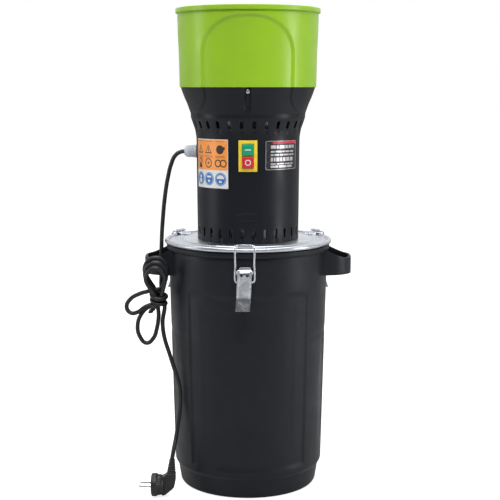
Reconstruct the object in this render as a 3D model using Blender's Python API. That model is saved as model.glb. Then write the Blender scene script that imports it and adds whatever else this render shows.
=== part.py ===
"""Electric hammer mill on a round collecting bin.

A black moulded bin carries a galvanised lid, held down by three toggle latches.  On the lid stands
the motor housing with its slotted wall, and on that the green hopper.  Grain falls from the hopper
past a swivelling gate, down a duct beside the motor and into the hammer chamber under the lid, where
four swinging hammers throw it through a ring sieve into the bin.

Metres, +Z up.  The origin is on the floor, on the axis of the bin.  The front, with the switch and
one latch, looks along -Y, and angles are counted from the front towards +X.
"""
from math import asin, atan2, cos, degrees, hypot, pi, radians, sin, sqrt

import bmesh
import bpy
from mathutils import Matrix, Vector

# ------------------------------------------------------------------ driving dimensions
GAP = 0.0003                 # between neighbours that touch on the real machine
RUNNING_GAP = 0.0006         # between a moving piece and what it turns or slides in

BIN_HEIGHT = 0.408           # floor to the rim that the seal lies on
BIN_BASE_R = 0.1120
BIN_FOOT_R = 0.1197          # top of the rounded foot
BIN_FOOT_HEIGHT = 0.032
BIN_LOW_R = 0.1242           # lowest full radius, over the foot's step
BIN_STEP = 0.007
BIN_TOP_R = 0.1330
BIN_RIM_R = 0.1365
BIN_RIM_INNER_R = 0.1270
BIN_RIM_HEIGHT = 0.009
BIN_WALL = 0.003
BIN_FLOOR = 0.004
PANEL_DEPTH = 0.0016         # moulded panels, front and back of the bin
PANEL_BOTTOM = 0.048
PANEL_BELOW_RIM = 0.070
PANEL_HALF_ANGLE = radians(48)

GRIP_REACH = 0.0395          # how far the carrying loop stands out from the bin's top radius
GRIP_HEIGHT = 0.0275         # height of the loop at its outer bar
GRIP_BOTTOM_BELOW_RIM = 0.0485
GRIP_WALL = 0.0035
GRIP_HALF_WIDTH = 0.052      # where the loop leaves the wall

SEAL_THICKNESS = 0.0030
SEAL_WIDTH = 0.0045
LID_R = 0.1400
LID_SHEET = 0.0012
LID_BEAD_R = 0.0038          # rolled edge of the lid
LID_STEP_R = 0.1080          # raised middle of the lid
LID_STEP = 0.0018

HOUSING_HEIGHT = 0.251       # lid to hopper
HOUSING_BOTTOM_R = 0.0844
HOUSING_NECK_R = 0.0858      # where the cone under the hopper starts
HOUSING_WALL = 0.0030
CONE_HEIGHT = 0.082
CONE_WALL = 0.0070
LOBE_DEPTH = 0.0020          # how far the three lobes stand proud of the cone
FLANGE_WIDTH = 0.011
FLANGE_THICKNESS = 0.003

SLOT_COUNT = 28
SLOT_WIDTH = 0.0058
UPPER_SLOT_HEIGHT = 0.0125
UPPER_SLOT_BELOW_HOPPER = 0.0665
LOWER_SLOT_HEIGHT = 0.0150
LOWER_SLOT_ABOVE_LID = 0.0080
LOWER_SLOT_WIDTH = 0.0050

HOPPER_HEIGHT = 0.127
HOPPER_BOTTOM_R = 0.1124
HOPPER_TOP_R = 0.1160
HOPPER_WALL = 0.0042
RIM_R = 0.1190
RIM_HEIGHT = 0.008
ARCH_DEPTH = 0.0020          # arched panels in the hopper wall
ARCH_HALF_ANGLE = radians(40)
ARCH_BELOW_RIM = 0.010
FUNNEL_DEPTH = 0.026         # hopper floor under the joint with the housing
FUNNEL_R = 0.088
FUNNEL_WALL = 0.0030
SPIGOT_DEPTH = 0.015         # collar of the hopper inside the cone
SPIGOT_WALL = 0.0030

SCREW_HEAD_R = 0.0037
SCREW_SHANK_R = 0.0020
SCREW_HEAD = 0.0022
SCREW_LENGTH = 0.0045        # under the head
SCREW_BELOW_HOPPER = 0.0065
CHANNEL_R = 0.0050           # half pipe in the cone that lets the screwdriver in
CHANNEL_LENGTH = 0.040

SWITCH_WIDTH = 0.0300
SWITCH_HEIGHT = 0.0500
SWITCH_PROUD = 0.0036
SWITCH_BOX_WIDTH = 0.0240
SWITCH_BOX_HEIGHT = 0.0430
SWITCH_BOX_DEPTH = 0.0260
SWITCH_BELOW_HOPPER = 0.1090
BUTTON_SIZE = 0.0180
BUTTON_PITCH = 0.0202
BUTTON_PROUD = 0.0040
BUTTON_DEPTH = 0.0140
BUTTON_TRAVEL = 0.0030

GLAND_BELOW_HOPPER = 0.1055
GLAND_R = 0.0100
GLAND_THREAD_R = 0.0075
CORD_R = 0.0035

LABEL_THICKNESS = 0.0005
WARNING_CENTRE = radians(-46.5)
WARNING_HALF_ANGLE = radians(25.0)
WARNING_HEIGHT = 0.0790
WARNING_BELOW_HOPPER = 0.1225
RATING_CENTRE = radians(41.5)
RATING_HALF_ANGLE = radians(23.0)
RATING_HEIGHT = 0.0470
RATING_BELOW_HOPPER = 0.1085

FIELD_ANGLES = {"front": 0.0, "right": radians(120), "left": radians(-120)}
LATCH_ANGLES = {"front": radians(-2), "right": radians(120), "left": radians(-120)}
LEVER_WIDTH = 0.0230
LEVER_LENGTH = 0.0640
LEVER_LIP = 0.0170
LATCH_SHEET = 0.0015
LATCH_PIVOT_BELOW_RIM = 0.0300
LATCH_PIVOT_OUT = 0.0095     # from the bin's top radius
BAIL_CRANK = 0.0150          # lever pivot to bail pivot
WIRE_R = 0.0015
BAIL_CLEARANCE = 0.0022      # from a leg of the bail to the lever and to the keeper
BAIL_SPACING = LEVER_WIDTH + 2 * (WIRE_R + BAIL_CLEARANCE)
KEEPER_WIDTH = BAIL_SPACING - 2 * (WIRE_R + BAIL_CLEARANCE)
KEEPER_LENGTH = 0.0270

STATOR_R = 0.0540
STATOR_BORE_R = 0.0358
STATOR_HEIGHT = 0.0700
ROTOR_R = 0.0325
SHAFT_R = 0.0080
MOTOR_ABOVE_LID = 0.0440     # underside of the stator over the lid
WINDING_OVERHANG = 0.0150
SHIELD_WALL = 0.0026
SHIELD_PLATE = 0.0060
BEARING_R = 0.0160
BEARING_HEIGHT = 0.0110

CHUTE_INNER_R = 0.0600       # grain duct at the back, beside the motor
CHUTE_OUTER_R = 0.0785
CHUTE_HALF_ANGLE = radians(27)
CHUTE_WALL = 0.0015
CHUTE_CENTRE = pi

CHAMBER_R = 0.0780
CHAMBER_HEIGHT = 0.0400
CHAMBER_PLATE_R = 0.0980
CHAMBER_PLATE = 0.0030
SIEVE_WALL = 0.0015
SIEVE_SLOTS = 12
DISC_R = 0.0520
DISC_THICKNESS = 0.0040
DISC_SHOULDER = 0.0010       # how far the shaft's shoulder sits into the disc
HAMMER_PITCH_R = 0.0440
HAMMER_LENGTH = 0.0290
HAMMER_WIDTH = 0.0120
HAMMER_THICKNESS = 0.0040
HAMMER_COUNT = 4
STUD_R = 0.0030

SEGMENTS = 48                # round the big turned pieces
INNER_SEGMENTS = 28          # round the pieces inside

# ------------------------------------------------------------------ levels and outlines worked out from them
LID_TOP = BIN_HEIGHT + SEAL_THICKNESS + LID_SHEET + 2 * GAP + 0.0032
JOINT_Z = LID_TOP + HOUSING_HEIGHT                      # where the hopper meets the housing
RIM_TOP = JOINT_Z + HOPPER_HEIGHT
LID_UNDER = LID_TOP - LID_SHEET
CONE_Z = JOINT_Z - CONE_HEIGHT
BIN_PROFILE = [(BIN_LOW_R, BIN_FOOT_HEIGHT + BIN_STEP), (BIN_TOP_R, BIN_HEIGHT - BIN_RIM_HEIGHT)]
HOUSING_PROFILE = [(HOUSING_BOTTOM_R, LID_TOP + GAP),
                   (HOUSING_NECK_R, CONE_Z),
                   (HOUSING_NECK_R + 0.0022, CONE_Z + 0.013),
                   (HOUSING_NECK_R + 0.0119, CONE_Z + 0.041),
                   (HOPPER_BOTTOM_R - 0.0004, JOINT_Z - GAP)]
HOPPER_PROFILE = [(HOPPER_BOTTOM_R, JOINT_Z), (HOPPER_TOP_R, RIM_TOP - RIM_HEIGHT)]


def radius_at(profile, height):
    """Radius of a profile, listed from bottom to top, at a height."""
    for (low_r, low_z), (high_r, high_z) in zip(profile, profile[1:]):
        if height <= high_z:
            share = (height - low_z) / (high_z - low_z)
            return low_r + share * (high_r - low_r)
    return profile[-1][0]


def around(angle, radius, height=0.0):
    """Point at an angle from the front, a radius from the axis and a height."""
    return Vector((radius * sin(angle), -radius * cos(angle), height))


# ------------------------------------------------------------------ making objects
def clear_scene():
    for old in list(bpy.data.objects):
        bpy.data.objects.remove(old)


def material(name, colour, roughness, metallic=0.0):
    made = bpy.data.materials.new(name)
    made.use_nodes = True
    shader = made.node_tree.nodes["Principled BSDF"]
    shader.inputs["Base Color"].default_value = (*colour, 1.0)
    shader.inputs["Roughness"].default_value = roughness
    shader.inputs["Metallic"].default_value = metallic
    return made


def place(obj, location=(0, 0, 0), turn=0.0):
    obj.location = location
    obj.rotation_euler = (0, 0, turn)
    return obj


def solid(name, shape, finish=None, location=(0, 0, 0), turn=0.0):
    """Object from a bmesh, smooth on its round faces, sharp on its edges."""
    bmesh.ops.recalc_face_normals(shape, faces=shape.faces)
    mesh = bpy.data.meshes.new(name)
    shape.to_mesh(mesh)
    shape.free()
    if finish is not None:
        mesh.materials.append(finish)
    mesh.shade_smooth()
    mesh.set_sharp_from_angle(angle=radians(35))
    obj = bpy.data.objects.new(name, mesh)
    bpy.context.scene.collection.objects.link(obj)
    return place(obj, location, turn)


def combine(target, tool, operation="DIFFERENCE"):
    """Boolean of a helper object on a target; the helper is left as a hidden wire guide."""
    tool.hide_render = True
    tool.display_type = "WIRE"
    step = target.modifiers.new(tool.name, "BOOLEAN")
    step.operation = operation
    step.solver = "EXACT"
    step.object = tool
    return target


def turned(profile, segments=SEGMENTS, closed=True):
    """Solid of revolution of a (radius, height) outline; open outlines start and end on the axis."""
    shape = bmesh.new()
    points = [shape.verts.new((radius, 0, height)) for radius, height in profile]
    pairs = zip(points, points[1:] + points[:1]) if closed else zip(points, points[1:])
    lines = [shape.edges.new(pair) for pair in pairs]
    bmesh.ops.spin(shape, geom=points + lines, cent=(0, 0, 0), axis=(0, 0, 1), angle=2 * pi,
                   steps=segments, use_merge=True, use_duplicate=False)
    bmesh.ops.remove_doubles(shape, verts=shape.verts, dist=1e-6)
    return shape


def block(width, depth, height, centre=(0, 0, 0), shape=None):
    """Box, added to a shape when one is given."""
    shape = shape or bmesh.new()
    made = bmesh.ops.create_cube(shape, size=1.0)["verts"]
    bmesh.ops.scale(shape, vec=(width, depth, height), verts=made)
    bmesh.ops.translate(shape, vec=centre, verts=made)
    return shape


def rod(radius, length, centre=(0, 0, 0), axis="Z", segments=16, shape=None, radius2=None):
    """Cylinder or cone along X, Y or Z, added to a shape when one is given."""
    shape = shape or bmesh.new()
    turn = {"X": Matrix.Rotation(pi / 2, 4, "Y"), "Y": Matrix.Rotation(pi / 2, 4, "X"), "Z": Matrix()}
    bmesh.ops.create_cone(shape, cap_ends=True, segments=segments, radius1=radius,
                          radius2=radius if radius2 is None else radius2, depth=length,
                          matrix=Matrix.Translation(centre) @ turn[axis])
    return shape


def prism(outline, length, plane="XY"):
    """Flat outline extruded along its normal, centred on its plane."""
    shape = bmesh.new()
    lift = {"XY": lambda a, b, c: (a, b, c), "YZ": lambda a, b, c: (c, a, b),
            "XZ": lambda a, b, c: (a, c, b)}[plane]
    corners = [shape.verts.new(lift(a, b, -length / 2)) for a, b in outline]
    face = shape.faces.new(corners)
    made = bmesh.ops.extrude_face_region(shape, geom=[face])["geom"]
    tops = [item for item in made if isinstance(item, bmesh.types.BMVert)]
    bmesh.ops.translate(shape, vec=lift(0, 0, length), verts=tops)
    return shape


def sector(heights, inner, outer, half_angle, columns=12):
    """Curved slab in front of the axis: radii and half angle are functions of the height."""
    shape = bmesh.new()
    rows = []
    for height in heights:
        row = []
        for column in range(columns + 1):
            angle = half_angle(height) * (2 * column / columns - 1)
            near = shape.verts.new(around(angle, outer(height), height))
            far = shape.verts.new(around(angle, inner(height), height))
            row.append((near, far))
        rows.append(row)
    for low, high in zip(rows, rows[1:]):
        for a, b, c, d in zip(low, low[1:], high[1:], high):
            shape.faces.new((a[0], b[0], c[0], d[0]))
            shape.faces.new((b[1], a[1], d[1], c[1]))
        for end in (0, -1):
            shape.faces.new((low[end][0], low[end][1], high[end][1], high[end][0]))
    for row in (rows[0], rows[-1]):
        for a, b in zip(row, row[1:]):
            shape.faces.new((a[0], b[0], b[1], a[1]))
    return shape


def upright_sector(low, high, inner_r, outer_r, half_angle, columns=10):
    return sector([low, high], lambda z: inner_r, lambda z: outer_r, lambda z: half_angle, columns)


def smooth_line(points, spacing):
    """Points at an even spacing on a smooth curve through the given ones."""
    ends = [2 * points[0] - points[1]] + points + [2 * points[-1] - points[-2]]
    fine = []
    for a, b, c, d in zip(ends, ends[1:], ends[2:], ends[3:]):
        for step in range(12):
            t = step / 12
            fine.append(0.5 * (2 * b + (c - a) * t + (2 * a - 5 * b + 4 * c - d) * t * t
                               + (3 * b - 3 * c + d - a) * t ** 3))
    fine.append(points[-1])
    total = sum((q - p).length for p, q in zip(fine, fine[1:]))
    count = max(2, round(total / spacing))
    even = [fine[0]]
    walked = 0.0
    for p, q in zip(fine, fine[1:]):
        step = (q - p).length
        while len(even) < count and walked + step >= total * len(even) / count:
            share = (total * len(even) / count - walked) / step
            even.append(p.lerp(q, share))
        walked += step
    even.append(fine[-1])
    return even


def wire(name, points, radius, finish, sides=2, location=(0, 0, 0), turn=0.0):
    """Round wire or cord along points, as a curve with a bevel and filled ends."""
    curve = bpy.data.curves.new(name, "CURVE")
    curve.dimensions = "3D"
    curve.bevel_depth = radius
    curve.bevel_resolution = sides
    curve.use_fill_caps = True
    line = curve.splines.new("POLY")
    line.points.add(len(points) - 1)
    for slot, point in zip(line.points, points):
        slot.co = (*point, 1.0)
    curve.materials.append(finish)
    obj = bpy.data.objects.new(name, curve)
    bpy.context.scene.collection.objects.link(obj)
    return place(obj, location, turn)


# ------------------------------------------------------------------ finishes
clear_scene()
BLACK_PLASTIC = material("black_plastic", (0.016, 0.017, 0.021), 0.42)
BIN_PLASTIC = material("bin_plastic", (0.020, 0.022, 0.027), 0.50)
GREEN_PLASTIC = material("green_plastic", (0.31, 0.55, 0.027), 0.35)
GALVANISED = material("galvanised_steel", (0.66, 0.69, 0.73), 0.34, 1.0)
ZINC = material("zinc_plated_steel", (0.74, 0.77, 0.80), 0.24, 1.0)
STEEL = material("machined_steel", (0.50, 0.50, 0.52), 0.35, 1.0)
LAMINATION = material("lamination_steel", (0.24, 0.23, 0.22), 0.50, 0.8)
COPPER = material("copper_wire", (0.62, 0.27, 0.12), 0.38, 0.9)
CAST = material("cast_aluminium", (0.55, 0.56, 0.57), 0.50, 0.9)
RUBBER = material("black_rubber", (0.012, 0.012, 0.013), 0.55)
NYLON = material("white_nylon", (0.66, 0.70, 0.74), 0.40)
YELLOW = material("yellow_plastic", (0.93, 0.72, 0.06), 0.35)
GREEN_BUTTON = material("green_button", (0.0, 0.42, 0.19), 0.35)
RED_BUTTON = material("red_button", (0.74, 0.02, 0.06), 0.35)
LABEL_ORANGE = material("orange_label", (0.93, 0.33, 0.08), 0.35)
LABEL_DARK = material("dark_label", (0.10, 0.09, 0.10), 0.35)


# ------------------------------------------------------------------ bin
def make_bin():
    top = BIN_HEIGHT
    wall_top = BIN_PROFILE[-1][1]
    foot_inner = BIN_FOOT_R - BIN_WALL
    outline = [(0, 0), (BIN_BASE_R, 0), (BIN_BASE_R + 0.003, 0.004), (BIN_FOOT_R, BIN_FOOT_HEIGHT),
               BIN_PROFILE[0], BIN_PROFILE[1], (BIN_RIM_R, wall_top + 0.002), (BIN_RIM_R, top),
               (BIN_RIM_INNER_R, top), (BIN_RIM_INNER_R, top - 0.003), (BIN_TOP_R - BIN_WALL, wall_top),
               (BIN_LOW_R - BIN_WALL, BIN_PROFILE[0][1] + BIN_WALL), (foot_inner, BIN_FOOT_HEIGHT),
               (BIN_BASE_R, BIN_FLOOR + 0.006), (BIN_BASE_R - 0.006, BIN_FLOOR), (0, BIN_FLOOR)]
    body = solid("bin", turned(outline, closed=False), BIN_PLASTIC)
    panel_top = BIN_HEIGHT - PANEL_BELOW_RIM
    for side, turn in (("front", 0.0), ("back", pi)):
        panel = sector([PANEL_BOTTOM, panel_top],
                       lambda z: radius_at(BIN_PROFILE, z) - PANEL_DEPTH,
                       lambda z: radius_at(BIN_PROFILE, z) + 0.010,
                       lambda z: PANEL_HALF_ANGLE, columns=15)
        combine(body, solid("cut_bin_panel_" + side, panel, turn=turn))
    for side, turn in (("right", 0.0), ("left", pi)):
        combine(body, solid("add_grip_" + side, grip_loop(), turn=turn), "UNION")
    return body


def grip_loop():
    """Carrying loop at +X: a strap standing on edge, highest where it leaves the wall."""
    bottom = BIN_HEIGHT - GRIP_BOTTOM_BELOW_RIM
    tip = BIN_TOP_R + GRIP_REACH
    root = sqrt((BIN_TOP_R - BIN_WALL / 2) ** 2 - GRIP_HALF_WIDTH ** 2)
    half = [(root, GRIP_HALF_WIDTH), (0.50, 0.90), (0.80, 0.70), (0.94, 0.52), (1.0, 0.30)]
    outer = [(root, GRIP_HALF_WIDTH)]
    outer += [(root + (tip - root) * reach, GRIP_HALF_WIDTH * width) for reach, width in half[1:]]
    outer = [(x, -y) for x, y in outer] + [(x, y) for x, y in reversed(outer)]
    inner = []
    for index, (x, y) in enumerate(outer):
        before = Vector(outer[max(index - 1, 0)])
        after = Vector(outer[min(index + 1, len(outer) - 1)])
        along = (after - before).normalized()
        inner.append((x - along.y * GRIP_WALL, y + along.x * GRIP_WALL))
    shape = bmesh.new()
    rings = []
    for (outer_x, outer_y), (inner_x, inner_y) in zip(outer, inner):
        out = (outer_x - root) / (tip - root)
        top = bottom + GRIP_HEIGHT + (BIN_RIM_HEIGHT + 0.0105) * max(0.0, 1 - 1.15 * out) ** 1.4
        corners = [(outer_x, outer_y, bottom), (outer_x, outer_y, top),
                   (inner_x, inner_y, top), (inner_x, inner_y, bottom)]
        rings.append([shape.verts.new(corner) for corner in corners])
    for low, high in zip(rings, rings[1:]):
        for side in range(4):
            after = (side + 1) % 4
            shape.faces.new((low[side], low[after], high[after], high[side]))
    shape.faces.new(rings[0])
    shape.faces.new(list(reversed(rings[-1])))
    return shape


def make_seal():
    low = BIN_HEIGHT + GAP
    high = low + SEAL_THICKNESS
    outer = LID_R - 2 * LID_BEAD_R - GAP
    inner = outer - SEAL_WIDTH
    outline = [(inner, low), (outer, low), (outer, high), (inner, high)]
    return solid("bin_seal", turned(outline), RUBBER)


# ------------------------------------------------------------------ lid and what it carries
def make_lid():
    """Pressed sheet with a rolled edge, a raised middle, and holes for the motor and the duct."""
    bead_z = LID_TOP - LID_STEP - LID_BEAD_R + 0.0026
    bead_middle = LID_R - LID_BEAD_R
    flat = LID_TOP - LID_STEP
    bead = []
    for step in range(7):
        angle = radians(152 - step * 45)
        bead.append((bead_middle + LID_BEAD_R * cos(angle), bead_z + LID_BEAD_R * sin(angle)))
    motor_hole = STATOR_R + SHIELD_WALL + 0.0030
    outline = [(motor_hole, LID_TOP), (LID_STEP_R, LID_TOP), (LID_STEP_R + LID_STEP, flat)]
    outline += [(bead_middle - 0.0050, flat)] + bead
    outline += [(bead_middle - 0.0040, flat - LID_SHEET), (LID_STEP_R + LID_STEP, flat - LID_SHEET)]
    outline += [(LID_STEP_R, LID_UNDER), (motor_hole, LID_UNDER)]
    lid = solid("lid", turned(outline), GALVANISED)
    combine(lid, solid("cut_lid_duct", duct_passage(LID_UNDER - 0.002, LID_TOP + 0.002), turn=CHUTE_CENTRE))
    return lid


def duct_passage(low, high, clearance=0.0010):
    """Upright sector that clears the grain duct, for cutting the sheets it passes."""
    inner = CHUTE_INNER_R - CHUTE_WALL - clearance - 0.004
    outer = CHUTE_OUTER_R + CHUTE_WALL + clearance
    spread = (CHUTE_WALL + clearance) / CHUTE_INNER_R
    return upright_sector(low, high, inner, outer, CHUTE_HALF_ANGLE + spread)


def make_keeper(side, angle):
    """Hook plate on the lid's edge; the bail's bar sits behind its upturned lip."""
    width = KEEPER_WIDTH
    outer = LID_R - 0.0010
    foot = LID_TOP - LID_STEP + GAP
    seat = keeper_seat()
    outline = [(-outer, seat - LATCH_SHEET), (-outer, seat + 0.0040), (-outer + LATCH_SHEET, seat + 0.0040),
               (-outer + LATCH_SHEET, seat), (-outer + 0.0105, seat), (-outer + 0.0125, foot + LATCH_SHEET),
               (-outer + KEEPER_LENGTH, foot + LATCH_SHEET), (-outer + KEEPER_LENGTH, foot),
               (-outer + 0.0115, foot), (-outer + 0.0095, seat - LATCH_SHEET)]
    return solid("keeper_" + side, prism(outline, width, "YZ"), ZINC, turn=angle)


def keeper_seat():
    """Height of the keeper's face that the bail's bar pulls down on."""
    return LID_TOP - LID_STEP + 0.0026 + LATCH_SHEET + GAP


def latch_pivot():
    """Axis of the lever, for the front latch."""
    return Vector((0, -(BIN_TOP_R + LATCH_PIVOT_OUT), BIN_HEIGHT - LATCH_PIVOT_BELOW_RIM))


def bail_pivot():
    """Axis of the bail's two feet in the closed lever, a little past the dead centre."""
    over_centre = 0.0010
    pivot = latch_pivot()
    return Vector((0, pivot.y + over_centre, pivot.z - BAIL_CRANK))


def make_latch(side, angle):
    turn = Matrix.Rotation(angle, 3, "Z")
    pivot = latch_pivot()
    wall = -(BIN_TOP_R + GAP)
    half = LEVER_WIDTH / 2
    ear_x = half - LATCH_SHEET - RUNNING_GAP - LATCH_SHEET / 2
    plate_height = 0.0600
    plate_top = 0.0085
    to_wall = wall - pivot.y                       # from the pivot back to the bin
    base = block(2 * ear_x + LATCH_SHEET, LATCH_SHEET, plate_height,
                 (0, to_wall - LATCH_SHEET / 2, plate_top - plate_height / 2))
    base = solid("latch_base_" + side, base, ZINC, turn @ pivot, angle)
    ears = bmesh.new()
    for way in (-1, 1):
        block(LATCH_SHEET, to_wall + 0.0035, 0.0100, (way * ear_x, (to_wall - 0.0037) / 2, -0.0005), ears)
    combine(base, solid("add_ears_" + side, ears, location=turn @ pivot, turn=angle), "UNION")
    pin = rod(0.0020, LEVER_WIDTH + 0.0020, axis="X", segments=12)
    combine(base, solid("add_pin_" + side, pin, location=turn @ pivot, turn=angle), "UNION")
    rivets = bmesh.new()
    for height in (-0.0200, -0.0430):
        rod(0.0030, 0.0012, (0, to_wall - LATCH_SHEET - 0.0004, height), "Y", 12, rivets)
    combine(base, solid("add_rivets_" + side, rivets, location=turn @ pivot, turn=angle), "UNION")

    lever = lever_shape()
    lever = solid("latch_lever_" + side, lever, ZINC, turn @ pivot, angle)
    holes = rod(0.0020 + RUNNING_GAP, LEVER_WIDTH + 0.004, axis="X", segments=12)
    foot = bail_pivot() - pivot
    rod(WIRE_R + RUNNING_GAP, LEVER_WIDTH + 0.004, foot, "X", 12, holes)
    combine(lever, solid("cut_lever_holes_" + side, holes, location=turn @ pivot, turn=angle))
    window = block(0.0080, 0.0200, 0.0050, (0, -0.006, -0.0010))
    combine(lever, solid("cut_lever_window_" + side, window, location=turn @ pivot, turn=angle))
    make_bail(side, angle, turn)


def lever_shape():
    """Pressed channel: a flat face, two side flanges over the pivots, and a lip to pull on."""
    half = LEVER_WIDTH / 2
    face_y = -0.0062
    top = 0.0055
    lip_z = top - LEVER_LENGTH + LEVER_LIP
    lip_out = 0.0065
    side = [(face_y, top), (face_y - LATCH_SHEET, top - 0.0015), (face_y - LATCH_SHEET, lip_z),
            (face_y - LATCH_SHEET - lip_out, lip_z - LEVER_LIP), (face_y - lip_out, lip_z - LEVER_LIP),
            (face_y, lip_z)]
    shape = prism(side, LEVER_WIDTH, "YZ")
    flange = [(face_y - 0.0002, top), (0.0036, top), (0.0052, -0.0040), (0.0052, -0.0200), (face_y - 0.0002, -0.0340)]
    return join_flanges(shape, flange, half)


def join_flanges(shape, flange, half):
    """Lever with its two side flanges, grown from the face so that it is one body."""
    mesh = bpy.data.meshes.new("lever_face")
    shape.to_mesh(mesh)
    shape.free()
    face = bpy.data.objects.new("lever_face", mesh)
    bpy.context.scene.collection.objects.link(face)
    for way in (-1, 1):
        part = prism(flange, LATCH_SHEET, "YZ")
        bmesh.ops.translate(part, vec=(way * (half - LATCH_SHEET / 2), 0, 0), verts=part.verts)
        combine(face, solid("add_flange", part), "UNION")
    bpy.context.view_layer.update()
    evaluated = face.evaluated_get(bpy.context.evaluated_depsgraph_get())
    joined = bmesh.new()
    joined.from_mesh(evaluated.to_mesh())
    for helper in [step.object for step in face.modifiers] + [face]:
        bpy.data.objects.remove(helper)
    return joined


def make_bail(side, angle, turn):
    """Wire loop: two feet in the lever, two legs, and a bar hooked over the lid's edge."""
    foot = bail_pivot()
    reach = BAIL_SPACING / 2
    inner = LEVER_WIDTH / 2 - LATCH_SHEET + GAP / 2 - 0.0003
    leg_y = -(LID_R + WIRE_R + 0.0018)
    bar = Vector((0, -(LID_R - 0.0010 - LATCH_SHEET - WIRE_R - 0.0006), keeper_seat() + WIRE_R + GAP))
    corner = 0.0035
    half = [Vector((inner, foot.y, foot.z)),
            Vector((reach - corner, foot.y, foot.z)),
            Vector((reach - 0.3 * corner, foot.y, foot.z + 0.3 * corner)),
            Vector((reach, foot.y - 0.0002, foot.z + corner)),
            Vector((reach, leg_y, foot.z + 0.020)),
            Vector((reach, leg_y, bar.z - 0.0090)),
            Vector((reach, leg_y + 0.0008, bar.z - 0.0040)),
            Vector((reach, leg_y + 0.0032, bar.z - 0.0006)),
            Vector((reach, leg_y + 0.0052, bar.z + 0.0002)),
            Vector((reach - 0.0006, bar.y - 0.0008, bar.z)),
            Vector((reach - 0.0024, bar.y, bar.z))]
    mirrored = [Vector((-point.x, point.y, point.z)) for point in half]
    points = [point - foot for point in half + mirrored[::-1]]
    return wire("latch_bail_" + side, points, WIRE_R, ZINC, location=turn @ foot, turn=angle)


# ------------------------------------------------------------------ housing and hopper
def lobe_half_angle(height):
    """Half angle of the sunk field between two lobes of the cone: the lobes run out to a point."""
    share = min(1.0, max(0.0, (JOINT_Z - height) / 0.042))
    return ARCH_HALF_ANGLE + radians(19.6) * share ** 3


def make_housing():
    outer = HOUSING_PROFILE
    inner = [(HOPPER_BOTTOM_R - CONE_WALL, JOINT_Z - GAP), (outer[3][0] - CONE_WALL, outer[3][1]),
             (outer[1][0] - HOUSING_WALL, CONE_Z), (outer[0][0] - HOUSING_WALL, LID_TOP + FLANGE_THICKNESS),
             (outer[0][0] - FLANGE_WIDTH, LID_TOP + FLANGE_THICKNESS), (outer[0][0] - FLANGE_WIDTH, LID_TOP + GAP)]
    housing = solid("housing", turned(outer + inner, 2 * SLOT_COUNT), BLACK_PLASTIC)
    bottom = JOINT_Z - 0.0415
    heights = [bottom + (JOINT_Z + 0.001 - bottom) * step / 5 for step in range(6)]
    for name, angle in FIELD_ANGLES.items():
        field = sector(heights, lambda z: radius_at(outer, z) - LOBE_DEPTH, lambda z: radius_at(outer, z) + 0.01,
                       lobe_half_angle, columns=8)
        combine(housing, solid("cut_cone_field_" + name, field, turn=angle))
        combine(housing, solid("cut_screw_channel_" + name, screw_channel(), turn=angle))
    slots = bmesh.new()
    upper = JOINT_Z - UPPER_SLOT_BELOW_HOPPER + UPPER_SLOT_HEIGHT / 2
    lower = LID_TOP + LOWER_SLOT_ABOVE_LID + LOWER_SLOT_HEIGHT / 2
    for width, height, middle in ((SLOT_WIDTH, UPPER_SLOT_HEIGHT, upper),
                                  (LOWER_SLOT_WIDTH, LOWER_SLOT_HEIGHT, lower)):
        for index in range(SLOT_COUNT):
            angle = 2 * pi * (index + 0.5) / SLOT_COUNT
            slot = bmesh.ops.create_cube(slots, size=1.0)["verts"]
            bmesh.ops.scale(slots, vec=(width, 0.040, height), verts=slot)
            bmesh.ops.translate(slots, vec=(0, -radius_at(outer, middle), middle), verts=slot)
            bmesh.ops.rotate(slots, cent=(0, 0, 0), matrix=Matrix.Rotation(angle, 3, "Z"), verts=slot)
    combine(housing, solid("cut_slots", slots))
    opening = block(SWITCH_BOX_WIDTH + 2 * GAP, 0.030, SWITCH_BOX_HEIGHT + 2 * GAP,
                    (0, -HOUSING_NECK_R, JOINT_Z - SWITCH_BELOW_HOPPER))
    combine(housing, solid("cut_switch_opening", opening))
    seat = block(SWITCH_WIDTH + 2 * GAP, 0.020, SWITCH_HEIGHT + 2 * GAP,
                 (0, switch_seat() - 0.010 + GAP, JOINT_Z - SWITCH_BELOW_HOPPER))
    combine(housing, solid("cut_switch_seat", seat))
    gland_hole = rod(GLAND_THREAD_R + GAP, 0.030, (-HOUSING_NECK_R, 0, JOINT_Z - GLAND_BELOW_HOPPER), "X", 20)
    combine(housing, solid("cut_gland_hole", gland_hole))
    flange_cut = duct_passage(LID_TOP - 0.001, LID_TOP + FLANGE_THICKNESS + 0.001, 0.0015)
    combine(housing, solid("cut_flange_duct", flange_cut, turn=CHUTE_CENTRE))
    return housing


def screw_height():
    return JOINT_Z - SCREW_BELOW_HOPPER


def screw_seat():
    """Radius of the channel's floor at the screw, where its head sits."""
    return radius_at(HOUSING_PROFILE, screw_height()) - LOBE_DEPTH - 0.0035


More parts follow.
